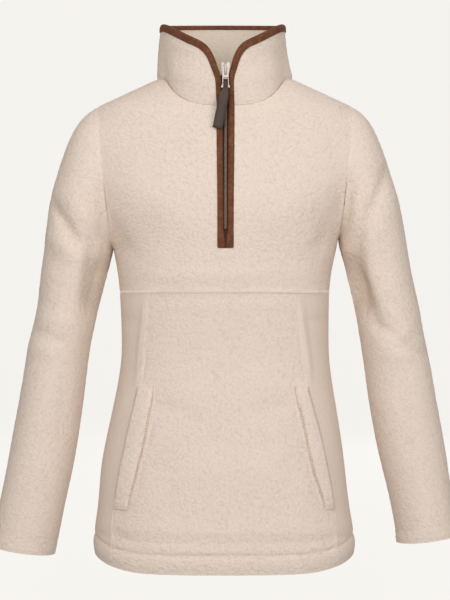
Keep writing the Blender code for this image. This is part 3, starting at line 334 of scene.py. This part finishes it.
def foldMove(fold, point, facing):
    # how far one crease moves a point; facing is 1 where the cloth faces the front squarely, -1 the back
    x1, z1, x2, z2, breadth, out, side = fold
    if facing * side < runOut["least"]:
        return 0.0
    run = Vector((x2 - x1, z2 - z1))
    here = Vector((point.x / mm - x1, point.z / mm - z1))
    along = here.dot(run) / run.length_squared
    off = abs(here.x * run.y - here.y * run.x) / run.length
    past, within = runOut["past"], runOut["within"]
    if along < -past or along > 1 + past or off > runOut["sideways"] * breadth:
        return 0.0
    ends = easeIn(-past, within, along) * easeIn(1 + past, 1 - within, along)
    return out * mm * ends * math.exp(-(off / breadth) ** 2) * min(1.0, facing * side * runOut["gain"])


# Height of the cross seam in mm, midway between the panels above and below it.
seamHeight = (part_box("front_upper")[0].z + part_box("front_lower")[1].z) / 2 / mm
# Creases, in mm: x and z of both ends, half breadth, how far out, 1 front or -1 back.
rightSleeveFolds = [
    (-250, -176, -204, -242, 8, -5.6, 1), (-240, -156, -192, -212, 14, 2.8, 1),
    (-262, -218, -206, -266, 13, 3.0, 1), (-176, -150, -171, -250, 8, -2.6, 1),
    (-186, -226, -196, -330, 11, -4.0, 1), (-172, -262, -180, -340, 18, -8.0, 1),
    (-280, -358, -222, -380, 7, -2.6, 1), (-272, -338, -214, -352, 9, 2.2, 1),
    (-292, -380, -236, -398, 10, 1.8, 1), (-226, -420, -236, -520, 9, -1.4, 1),
    (-246, -196, -200, -236, 8, -3.0, -1), (-268, -300, -200, -330, 9, -3.2, -1),
    (-282, -352, -214, -366, 10, 2.4, -1), (-290, -420, -240, -400, 9, -2.0, -1),
    (-186, -160, -184, -236, 8, -2.4, -1),
]
leftSleeveFolds = [
    (238, -120, 187, -232, 8, -3.2, 1), (250, -160, 204, -232, 16, 2.0, 1),
    (186, -228, 190, -310, 11, -4.2, 1), (174, -262, 188, -338, 18, -8.5, 1),
    (184, -286, 214, -354, 12, -6.5, 1), (210, -352, 240, -368, 8, -3.8, 1),
    (290, -398, 246, -380, 7, -2.6, 1), (236, -330, 262, -366, 13, 2.4, 1),
    (222, -392, 262, -402, 11, 2.0, 1), (180, -140, 168, -230, 7, -3.6, 1),
    (252, -440, 262, -540, 9, -1.4, 1), (244, -150, 196, -222, 9, -2.8, -1),
    (196, -318, 262, -342, 9, -3.2, -1), (210, -360, 280, -372, 10, 2.4, -1),
    (240, -420, 292, -436, 9, -2.0, -1), (184, -150, 180, -230, 8, -2.4, -1),
]
# The cross seam's low ridge, and the ridge and groove that run down each seam of the side panels.
crossFolds = [(-190, seamHeight, 190, seamHeight, 3.4, 1.3, 1)]
sideSeamFolds = [
    (-112, -322, -122, -430, 5, 2.8, 1), (105, -322, 119, -430, 5, 2.8, 1),
    (-105, -320, -115, -430, 2.2, -1.2, 1), (98, -320, 112, -430, 2.2, -1.2, 1),
]
hemFolds = [
    (-250, -650, 250, -653, 7, -1.3, 1), (-250, -636, 250, -639, 10, 0.9, 1),
    (-250, -649, 250, -652, 8, -1.4, -1), (-162, -640, -126, -653, 5, -1.2, 1),
]
frontFolds = [
    (-170, -196, -128, -262, 12, -2.4, 1), (168, -170, 130, -250, 12, -2.4, 1),
    (-150, -150, -60, -212, 26, 1.8, 1), (150, -150, 64, -214, 26, 1.8, 1),
    (-64, -60, -40, -150, 18, -0.8, 1), (-120, -286, 120, -282, 9, 1.0, 1),
] + crossFolds
lowerFolds = [
    (-104, -458, -30, -486, 14, -1.8, 1), (100, -454, 38, -474, 14, -1.6, 1),
    (-90, -330, 96, -326, 10, 0.9, 1), (-60, -560, 70, -556, 22, 1.2, 1),
    (-92, -520, -66, -620, 16, -1.2, 1), (100, -520, 76, -616, 16, -1.2, 1),
    (-96, -470, -128, -604, 4, -1.3, 1), (96, -470, 134, -616, 4, -1.3, 1),
] + sideSeamFolds + crossFolds + hemFolds
sideFolds = [
    (-170, -346, -110, -352, 8, -1.4, 1), (110, -350, 170, -344, 8, -1.4, 1),
] + sideSeamFolds + crossFolds + hemFolds
backFolds = [
    (-120, -130, 120, -134, 16, -2.2, -1), (-150, -190, -80, -250, 14, -3.0, -1),
    (150, -186, 84, -248, 14, -3.0, -1), (-110, -372, 20, -384, 10, -2.8, -1),
    (120, -396, -10, -410, 10, -2.8, -1), (-90, -420, 70, -428, 14, 2.4, -1),
    (-60, -470, 90, -480, 12, -1.8, -1), (-40, -220, -30, -330, 18, -1.4, -1),
] + hemFolds
collarFolds = [
    (-96, 8, -30, -14, 12, 1.4, 1), (94, 10, 34, -12, 12, 1.4, 1), (-86, 34, -40, 20, 8, -1.0, 1),
    (84, 34, 40, 24, 8, -1.0, 1), (-80, 20, 80, 22, 12, 1.2, -1),
]

# Each cloth panel: its pile, extra cuts of its outer face, its lumps' size and rise and how far its seams dip
# and reach out in mm, its creases, its flat cut in metres and square metres, whether the turned hem is on it,
# and how far a pocket strip puffs out in mm.
panels = {
    "front_upper": {"pile": longPile, "cuts": 2, "lump": 5.0, "rise": 1.0, "folds": frontFolds,
                    "seamDip": 0.25, "flat": (0.41, 0.315), "area": 0.119},
    "front_lower": {"pile": longPile, "cuts": 2, "lump": 5.0, "rise": 1.0, "folds": lowerFolds,
                    "seamDip": 0.1, "hem": True, "flat": (0.34, 0.42), "area": 0.117},
    "side_right": {"pile": shortPile, "cuts": 2, "lump": 4.0, "rise": 0.35, "folds": sideFolds,
                   "seamDip": 0.1, "hem": True, "flat": (0.118, 0.408), "area": 0.0375},
    "side_left": {"pile": shortPile, "cuts": 2, "lump": 4.0, "rise": 0.35, "folds": sideFolds,
                  "seamDip": 0.1, "hem": True, "flat": (0.12, 0.408), "area": 0.0387},
    "back": {"pile": longPile, "cuts": 1, "lump": 6.0, "rise": 1.1, "folds": backFolds,
             "hem": True, "flat": (0.5, 0.76), "area": 0.314},
    "sleeve_right": {"pile": longPile, "cuts": 1, "lump": 5.5, "rise": 1.0, "folds": rightSleeveFolds,
                     "seamReach": 1.0, "flat": (0.41, 0.68), "area": 0.191},
    "sleeve_left": {"pile": longPile, "cuts": 1, "lump": 5.5, "rise": 1.0, "folds": leftSleeveFolds,
                    "seamReach": 1.0, "flat": (0.41, 0.665), "area": 0.187},
    "collar": {"pile": longPile, "cuts": 1, "lump": 5.0, "rise": 0.9, "folds": collarFolds, "seamDip": 1.0,
               "flat": (0.52, 0.125), "area": 0.042},
    "pocket_welt_right": {"pile": longPile, "cuts": 1, "lump": 5.0, "rise": 0.9, "folds": [], "seamDip": 1.3,
                          "puff": 1.2, "flat": (0.032, 0.178), "area": 0.005},
    "pocket_welt_left": {"pile": longPile, "cuts": 1, "lump": 5.0, "rise": 0.9, "folds": [], "seamDip": 1.3,
                         "puff": 1.2, "flat": (0.032, 0.178), "area": 0.005},
}
# Tufts: the sizes in mm over which they wander and curl, how steep they are, the share that is curl, the
# share of their height that sinks in, and how much painted shade each mm of a crease's trough puts on them.
tufts = {"wander": 14, "curl": 2.6, "steep": 1.15, "curlShare": 0.25, "sunk": 0.35, "troughShade": 0.16}
# Along every seam, in mm: a panel's usual dip and reach, the breadths they fade over, the share of the tufts
# that is left there, and how a pocket strip runs out flush above its foot.
seams = {"dip": 0.35, "reach": 0.3, "dipBreadth": 6, "tuftBreadth": 7, "tuftShare": 0.35,
         "flush": 0.05, "flushFrom": 4, "flushTo": 18}
# The turned hem, in mm above its edge: a groove at the stitch line and a soft roll below it. Its points are
# those below a height whose cut edge faces down. The stitch line keeps clear of the garment's middle plane,
# where the hem turns round the sides, and takes every sixth point.
hem = {"stitchUp": 26.0, "groove": 1.2, "grooveBreadth": 3.2, "rollUp": 13, "roll": 0.8, "rollBreadth": 8,
       "below": -660, "facesDown": -0.7, "sideClear": 20, "every": 6}
# Numbers of a wall's faces while it is worked on; 1 is its inner face.
outerSide, cutEdge = 0, 2
surfaces = {}
dressed = {}
hemSpots = []
noise.seed_set(7)  # noise_vector starts from a random place, so each run needs the same seed


def touches(part, side):
    return any(face.material_index == side for face in part.link_faces)


def rimOf(outerVerts, hasHem):
    # the outer face's points that lie on a cut edge, and those of them that lie along the hem
    rimPoints, lowPoints = [], []
    for vert in outerVerts:
        cut = [face.normal.z for face in vert.link_faces if face.material_index != outerSide]
        if cut:
            rimPoints.append(vert.co.copy())
            if hasHem and vert.co.z < hem["below"] * mm and min(cut) < hem["facesDown"]:
                lowPoints.append(vert.co.copy())
    return rimPoints, lowPoints


def reachOut(outerVerts, reach):
    # cut edges reach out to meet the next piece, so the pile closes over the seam
    for vert in outerVerts:
        cut = [face.normal for face in vert.link_faces if face.material_index == cutEdge]
        if cut:
            vert.co += sum(cut, Vector()).normalized() * reach * mm


def layFolds(bm, outerVerts, folds):
    # both faces of the wall move together, and the depth of each trough is kept to paint shade into the pile
    # colour
    outward = nearTree([vert.co for vert in outerVerts])
    facings = [vert.normal.copy() for vert in outerVerts]
    trough = bm.verts.layers.float.new("trough")
    moves = []
    for vert in bm.verts:
        normal = facings[outward.find(vert.co)[1]]
        move = sum(foldMove(fold, vert.co, -normal.y) for fold in folds)
        vert[trough] = min(0.0, move) / mm
        moves.append((vert, normal * move))
    for vert, move in moves:
        vert.co += move


def tuftHeight(point, lump):
    # 0 in the gaps to 1 at the tips
    bent = point + noise.noise_vector(point / (tufts["wander"] * mm)) * lump * 0.5
    near = noise.voronoi(bent / lump)[0]
    tuft = 1.0 - min(1.0, near[0] * tufts["steep"])
    curl = 0.5 + 0.5 * noise.noise(point / (tufts["curl"] * mm))
    return (1 - tufts["curlShare"]) * tuft + tufts["curlShare"] * curl


def raisePile(bm, look, foot, rim, low):
    # tufts on the outer face, lower at the seams, with the groove and roll of the hem where there is one
    pile = bm.verts.layers.float.new("pile")
    trough = bm.verts.layers.float["trough"]
    moves = []
    for vert in [vert for vert in bm.verts if touches(vert, outerSide)]:
        point = vert.co
        away = rim.find(point)[2] / mm
        tuft = tuftHeight(point, look["lump"] * mm)
        vert[pile] = tuft + vert[trough] * tufts["troughShade"]  # painted shade: the pile's colour is darker in the troughs of creases
        inland = easeIn(0, seams["tuftBreadth"], away)
        full = seams["tuftShare"] + (1 - seams["tuftShare"]) * inland
        move = look["rise"] * (tuft - tufts["sunk"]) * full
        dip = look.get("seamDip", seams["dip"])
        if look.get("puff"):  # a pocket strip runs out flush at its foot
            aboveFoot = easeIn(seams["flushFrom"], seams["flushTo"], point.z / mm - foot)
            dip = seams["flush"] + (dip - seams["flush"]) * aboveFoot
        move -= dip * (1 - easeIn(0, seams["dipBreadth"], away))
        move += look.get("puff", 0.0) * inland
        if low is not None:
            up = low.find(point)[2] / mm
            move -= hem["groove"] * math.exp(-((up - hem["stitchUp"]) / hem["grooveBreadth"]) ** 2)
            move += hem["roll"] * math.exp(-((up - hem["rollUp"]) / hem["rollBreadth"]) ** 2)
        moves.append((vert, vert.normal * move * mm))
    for vert, move in moves:
        vert.co += move


def dressPanel(name, look):
    # one cloth wall: smooth form, closed seams, creases, then the pile on its outer face
    bm = fromNode(name)
    for number, group in enumerate(splitFaces(bm)):
        for face in group:
            face.material_index = min(number, cutEdge)
    bm = smoothed(name, bm, 2, 1.0)
    outerVerts = [vert for vert in bm.verts if touches(vert, outerSide)]
    rimPoints, lowPoints = rimOf(outerVerts, look.get("hem"))
    hemSpots.extend(lowPoints)
    reachOut(outerVerts, look.get("seamReach", seams["reach"]))
    layFolds(bm, outerVerts, look["folds"])
    outerEdges = [edge for edge in bm.edges if touches(edge, outerSide)]
    bmesh.ops.subdivide_edges(bm, edges=outerEdges, cuts=look["cuts"], use_grid_fill=True)
    bm.normal_update()
    low = nearTree(lowPoints) if lowPoints else None
    raisePile(bm, look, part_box(name)[0].z / mm, nearTree(rimPoints), low)
    surfaces[name] = BVHTree.FromBMesh(bm)
    for edge in bm.edges:  # cut edges don't darken the pile beside them
        sides = {face.material_index for face in edge.link_faces}
        edge.smooth = not (cutEdge in sides and len(sides) > 1)
    for face in bm.faces:  # and they wear the outer pile
        if face.material_index == cutEdge:
            face.material_index = outerSide
    piece = newObject(name + "_cloth", bm, look["pile"], innerPile)
    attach(piece, "garment")
    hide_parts(name)
    dressed[name] = piece
    print("dressed", name, len(piece.data.polygons), "faces")


for name, look in panels.items():
    dressPanel(name, look)


def dressTrim(name, material, body="garment", levels=1, crease=1.0, bevel=0.0):
    # a copy of a trim node, rounder and in its own finish
    bm = fromNode(name)
    if levels:
        bm = smoothed(name, bm, levels, crease)
    piece = newObject(name + "_trim", bm, material)
    if bevel:
        rounded = piece.modifiers.new("rounded edges", "BEVEL")
        rounded.width = bevel * mm
        rounded.segments = 2
        rounded.limit_method = "ANGLE"
        rounded.angle_limit = math.radians(35)
    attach(piece, body)
    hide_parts(name)
    dressed[name] = piece


# The binding's ends at the foot of the zip, pressed flat and wide, in mm: the heights between which they
# widen, by how much, the zip's middle, where across it the widening starts and is full, and how far in front.
bindingEnds = {"top": -220, "foot": -238, "wider": 2.4, "middle": 0.75, "start": 3.0, "full": 9.0,
               "front": -90}


def pressBindingEnds():
    for vert in dressed["binding"].data.vertices:
        if vert.co.y < bindingEnds["front"] * mm:
            down = easeIn(bindingEnds["top"], bindingEnds["foot"], vert.co.z / mm)
            across = abs(vert.co.x / mm - bindingEnds["middle"])
            spread = down * easeIn(bindingEnds["start"], bindingEnds["full"], across)
            vert.co.x += math.copysign(bindingEnds["wider"] * mm * spread, vert.co.x)


dressTrim("binding", suede, levels=2, crease=0.12)
pressBindingEnds()
dressTrim("zip_tape_right", tapeWeave)
dressTrim("zip_tape_left", tapeWeave)
dressTrim("slider", enamel, levels=0, bevel=0.25)
dressTrim("pull_tab", enamel, "pull", levels=0, bevel=0.2)
dressTrim("pull_tag", ribbonWeave, "pull")
surfaces["binding"] = BVHTree.FromObject(dressed["binding"], bpy.context.evaluated_depsgraph_get())
print("trims dressed")


def roundBar():
    # the one shape that every stitch and zip turn is a copy of, one metre each way from its middle
    bm = bmesh.new()
    bmesh.ops.create_uvsphere(bm, u_segments=7, v_segments=4, radius=1.0,
                              matrix=Matrix.Rotation(math.pi / 2, 4, "Y"))
    mesh = bpy.data.meshes.new("round_bar")
    bm.to_mesh(mesh)
    bm.free()
    return mesh


barShape = roundBar()


def layBar(bm, centre, along, up, halfLong, halfWide, halfHigh):
    # one stitch or turn, set down with half its length, width and height in mm
    along = (along - up * along.dot(up)).normalized()
    turn = Matrix((along, up.cross(along), up)).transposed().to_4x4()
    size = Matrix.Diagonal((halfLong * mm, halfWide * mm, halfHigh * mm, 1.0))
    one = barShape.copy()
    one.transform(Matrix.Translation(centre) @ turn @ size)
    bm.from_mesh(one)
    bpy.data.meshes.remove(one)


# Zip coil: interlocking turns of flattened wire along both sides, in mm; slant is how far each turn climbs
# for every mm across.
coil = {"pitch": 1.7, "halfGap": 0.8, "turn": 1.0, "wire": 0.42, "tall": 0.714, "sunk": 0.35, "slant": 0.16,
        "footSpare": 1.0, "topSpare": 0.8}


def zipCoil():
    low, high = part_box("zip_chain")
    tree = BVHTree.FromObject(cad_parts["zip_chain"], bpy.context.evaluated_depsgraph_get())
    middle = (low.x + high.x) / 2
    bm = bmesh.new()
    z = low.z + coil["footSpare"] * mm
    while z < high.z - coil["topSpare"] * mm:
        hit, normal = tree.ray_cast(Vector((middle, -1, z)), Vector((0, 1, 0)))[:2]
        if hit:
            for side in (-1, 1):
                shift = Vector((side * coil["halfGap"], coil["sunk"], side * coil["pitch"] / 4)) * mm
                layBar(bm, hit + shift, Vector((1, 0, coil["slant"] * side)), normal,
                       coil["turn"], coil["wire"], coil["tall"])
        z += coil["pitch"] * mm
    piece = newObject("zip_coil_turns", bm, nylon)
    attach(piece, "garment")
    dressTrim("zip_chain", tapeWeave, levels=0)


zipCoil()
print("zip coil turned")


# The ribbon's loop, drawn tight round the tab's open end: two turns one above the other, in mm.
loop = {"up": 4.4, "wide": 4.0, "tall": 2.0, "deep": 1.7, "apart": 1.7, "sunk": 1.0, "slant": 0.12}


def ribbonLoop():
    low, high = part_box("pull_tab")
    middle = (low.x + high.x) / 2
    bm = bmesh.new()
    for turn in (-1, 1):
        centre = Vector((middle, low.y + loop["sunk"] * mm, low.z + (loop["up"] + turn * loop["apart"]) * mm))
        layBar(bm, centre, Vector((1, 0, loop["slant"])), Vector((0, -1, 0)),
               loop["wide"], loop["tall"], loop["deep"])
    piece = newObject("tag_loop", bm, ribbonWeave)
    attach(piece, "pull")


ribbonLoop()


def feel(name, x, z, side=-1):
    # place and direction of a piece's surface at x and z in mm, seen from the front (-1) or the back (1)
    return surfaces[name].ray_cast(Vector((x * mm, side, z * mm)), Vector((0, -side, 0)))[:2]


def foremost(names, x, z, side):
    best = None
    for name in names:
        hit, normal = feel(name, x, z, side)
        if hit and (best is None or hit.y * side > best[0].y * side):
            best = (hit, normal)
    return best


def walkLine(spots, pitch):
    # even steps along straight runs through the spots, all in mm: place and direction
    steps = []
    spare = 0.0
    for start, end in zip(spots, spots[1:]):
        start, end = Vector(start), Vector(end)
        run = end - start
        d = spare
        while d < run.length:
            steps.append((start + run.normalized() * d, run.normalized()))
            d += pitch
        spare = d - run.length
    return steps


def stitchRow(bm, spots, names, look, side=-1):
    # thread bars along a line on the cloth; lean turns them across it, feel says where the cloth is felt
    count = 0
    for spot, run in walkLine(spots, look["pitch"]):
        across = Vector((-run.y, run.x))
        felt = [spot + across * off for off in look["feel"]]
        hits = [hit for hit in (foremost(names, place.x, place.y, side) for place in felt) if hit]
        if len(hits) < 2:
            continue
        top = min((hit[0].y * -side for hit in hits)) * -side
        normal = sum((hit[1] for hit in hits), Vector()).normalized()
        if normal.y * side < 0.15:  # the cloth turns away here
            continue
        lean = math.radians(look["lean"])
        way = run * math.cos(lean) + across * math.sin(lean)
        centre = Vector((spot.x * mm, top, spot.y * mm)) + normal * look["lift"] * mm
        layBar(bm, centre, Vector((way.x, 0, way.y)), normal,
               look["long"] / 2, look["wide"] / 2, look["high"] / 2)
        count += 1
    return count


# Stitches in mm and degrees: the ladder over the cross seam, the binding's fine row, the thicker row along
# the pocket strips, and the plain lock stitch of the side seams and hem.
ladder = {"pitch": 1.7, "long": 5.4, "wide": 1.25, "high": 1.2, "lean": 90, "lift": 0.6,
          "feel": (-1.6, 0, 1.6)}
fine = {"pitch": 2.6, "long": 2.1, "wide": 0.5, "high": 0.45, "lean": 0, "lift": 0.08,
        "feel": (-0.3, 0, 0.3)}
tack = {"pitch": 4.0, "long": 2.9, "wide": 1.0, "high": 0.9, "lean": 0, "lift": 0.35,
        "feel": (-0.6, 0, 0.6)}
lock = {"pitch": 3.4, "long": 2.6, "wide": 0.75, "high": 0.6, "lean": 0, "lift": 0.05,
        "feel": (-0.8, 0, 0.8)}
# Where the rows run, in mm: the cross seam's half width, and the heights between which the others go.
rows = {"crossHalf": 149, "sideSeamTop": (-436, -314), "sideSeamFoot": (-676, -616), "welt": (-615, -470),
        "binding": (-236, 52)}


def panelEdge(name, side, low, high, step=8.0, inner=40.0, outer=200.0):
    # where a panel stops towards one side, halved in on between inner and outer, in mm
    spots = []
    z = high
    while z >= low:
        inside, outside = inner * side, outer * side
        for trial in range(14):
            x = (inside + outside) / 2
            if feel(name, x, z)[0]:
                inside = x
            else:
                outside = x
        spots.append((inside, z))
        z -= step
    return spots


def weltEdge(name, side, low, high, step=6.0, inner=70, outer=190, inset=1.5):
    # just inside the inner edge of a slanted strip, in mm
    spots = []
    z = high
    while z >= low:
        for x in range(inner, outer):
            if feel(name, side * x, z)[0]:
                spots.append((side * (x + inset), z))
                break
        z -= step
    return spots


def bindingEdge(side, low, high, step=3.0, inner=2.0, outer=90.0, behind=-45, inset=1.7):
    # just inside the binding's edge that lies on the cloth, in mm; what lies farther back is its other side
    spots = []
    z = low
    while z <= high:
        last = None
        x = inner
        while x < outer:
            hit = feel("binding", side * x, z)[0]
            if hit and hit.y < behind * mm:
                last = x
            elif last:
                break
            x += 0.5
        if last:
            spots.append((side * (last - inset), z))
        z += step
    return spots


def hemLine(side):
    # the hem's stitch line all along the front or back, in mm
    middle = (cadLow.y + cadHigh.y) / 2
    spots = [(p.x / mm, p.z / mm + hem["stitchUp"]) for p in hemSpots
             if (p.y - middle) * side > hem["sideClear"] * mm]
    return sorted(spots)[::hem["every"]]


def threadPiece(name, bm, thread):
    piece = newObject(name, bm, thread)
    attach(piece, "garment")


def seamRows():
    welts = {-1: "pocket_welt_right", 1: "pocket_welt_left"}
    fronts = ["front_upper", "front_lower", "side_right", "side_left"] + list(welts.values())
    hemPanels = ["front_lower", "side_right", "side_left", "back"]
    seam, strip, binding = bmesh.new(), bmesh.new(), bmesh.new()
    cross = [(-rows["crossHalf"], seamHeight), (rows["crossHalf"], seamHeight)]
    print("cross seam at", round(seamHeight, 1))
    total = stitchRow(seam, cross, fronts, ladder)
    for side, welt in welts.items():
        total += stitchRow(seam, panelEdge("front_lower", side, *rows["sideSeamTop"]), fronts, lock)
        total += stitchRow(seam, panelEdge("front_lower", side, *rows["sideSeamFoot"]), fronts, lock)
        total += stitchRow(strip, weltEdge(welt, side, *rows["welt"]), [welt], tack)
        total += stitchRow(binding, bindingEdge(side, *rows["binding"]), ["binding"], fine)
    for side in (-1, 1):
        total += stitchRow(seam, hemLine(side), hemPanels, lock, side)
    threadPiece("welt_thread_rows", strip, strawThread)
    threadPiece("seam_thread_rows", seam, creamThread)
    threadPiece("binding_thread_rows", binding, brownThread)
    print("seam stitches:", total)


seamRows()


# Seamless pale paper in metres: a round floor that rises into a wall on all sides.
room = {"floor": -0.78, "reach": 6.5, "bend": 1.6, "bendSteps": 12, "top": 5.0, "sides": 96, "glow": 0.95}


def paperSweep():
    bm = bmesh.new()
    profile = [(0.0, room["floor"])]
    for k in range(room["bendSteps"] + 1):
        turn = math.pi / 2 * k / room["bendSteps"]
        profile.append((room["reach"] - room["bend"] + room["bend"] * math.sin(turn),
                        room["floor"] + room["bend"] * (1 - math.cos(turn))))
    profile.append((room["reach"], room["top"]))
    line = [bm.verts.new((0, r, z)) for r, z in profile]
    edges = [bm.edges.new(pair) for pair in zip(line, line[1:])]
    bmesh.ops.spin(bm, geom=line + edges, cent=(0, 0, 0), axis=(0, 0, 1), angle=2 * math.pi,
                   steps=room["sides"], use_merge=True)
    bmesh.ops.remove_doubles(bm, verts=bm.verts, dist=0.1 * mm)
    bmesh.ops.recalc_face_normals(bm, faces=bm.faces)
    bmesh.ops.reverse_faces(bm, faces=bm.faces)  # a bowl is seen from inside
    material, tree, shader = startMaterial("matt seamless paper", "55534F", 0.95)
    where = add(tree, "TexCoord").outputs["Object"]
    grain = add(tree, "TexNoise", {"Scale": 300.0, "Detail": 2.0}, {"Vector": where})
    bump = add(tree, "Bump", {"Strength": 0.05, "Distance": 0.2 * mm}, {"Height": grain.outputs["Fac"]})
    tree.links.new(bump.outputs["Normal"], shader.inputs["Normal"])
    shader.inputs["Specular IOR Level"].default_value = 0.0
    shader.inputs["Emission Color"].default_value = linear("F6F4F0")
    shader.inputs["Emission Strength"].default_value = room["glow"]
    sweep = newObject("paper_sweep", bm, material)
    sweep.visible_diffuse = False  # the paper is only seen; the lamps do the lighting
    sweep.visible_glossy = False
    sweep.visible_shadow = False


paperSweep()


# Soft boxes in metres and watts: place, aim, side length, power; and the room's own light.
lamps = {
    "key": ((-0.9, -2.6, 0.7), (0, 0, -0.15), 1.9, 38),
    "fill": ((1.3, -2.4, 0.1), (0, 0, -0.35), 1.9, 27),
    "top": ((0.2, -0.3, 2.0), (0, 0, -0.2), 1.6, 8),
    "back": ((0.7, 2.6, 0.7), (0, 0, -0.3), 2.0, 22),
}
roomLight = {"colour": "FFFCF7", "strength": 0.31}


def hangLamps():
    for name, (place, aim, size, power) in lamps.items():
        light = bpy.data.lights.new(name, "AREA")
        light.shape = "SQUARE"
        light.size = size
        light.energy = power
        lamp = bpy.data.objects.new(name, light)
        lamp.location = place
        lamp.visible_camera = False
        lamp.rotation_euler = (Vector(aim) - Vector(place)).to_track_quat("-Z", "Y").to_euler()
        bpy.context.scene.collection.objects.link(lamp)
    world = bpy.data.worlds.new("soft studio")
    bpy.context.scene.world = world
    world.use_nodes = True
    world.node_tree.nodes["Background"].inputs["Color"].default_value = linear(roomLight["colour"])
    world.node_tree.nodes["Background"].inputs["Strength"].default_value = roomLight["strength"]


hangLamps()
print("paper and lamps set up")

# Level camera that looks at the middle of the photographed height: its distance and height in metres, its
# film in mm, the photo's scale in mm to a pixel, and the photo's height in pixels.
lens = {"far": 2.3, "height": -0.319, "film": 36.0, "perPixel": 1.45, "tall": 600}


def setCamera():
    camera = bpy.data.cameras.new("camera")
    camera.sensor_fit = "VERTICAL"
    camera.sensor_height = lens["film"]
    camera.lens = lens["film"] * lens["far"] / (lens["perPixel"] * mm * lens["tall"])
    cameraObject = bpy.data.objects.new("camera", camera)
    cameraObject.location = (0, -lens["far"], lens["height"])
    cameraObject.rotation_euler = (math.pi / 2, 0, 0)
    bpy.context.scene.collection.objects.link(cameraObject)
    bpy.context.scene.camera = cameraObject
    print("camera lens", round(camera.lens, 1))


setCamera()
bpy.context.scene.view_settings.view_transform = "Standard"
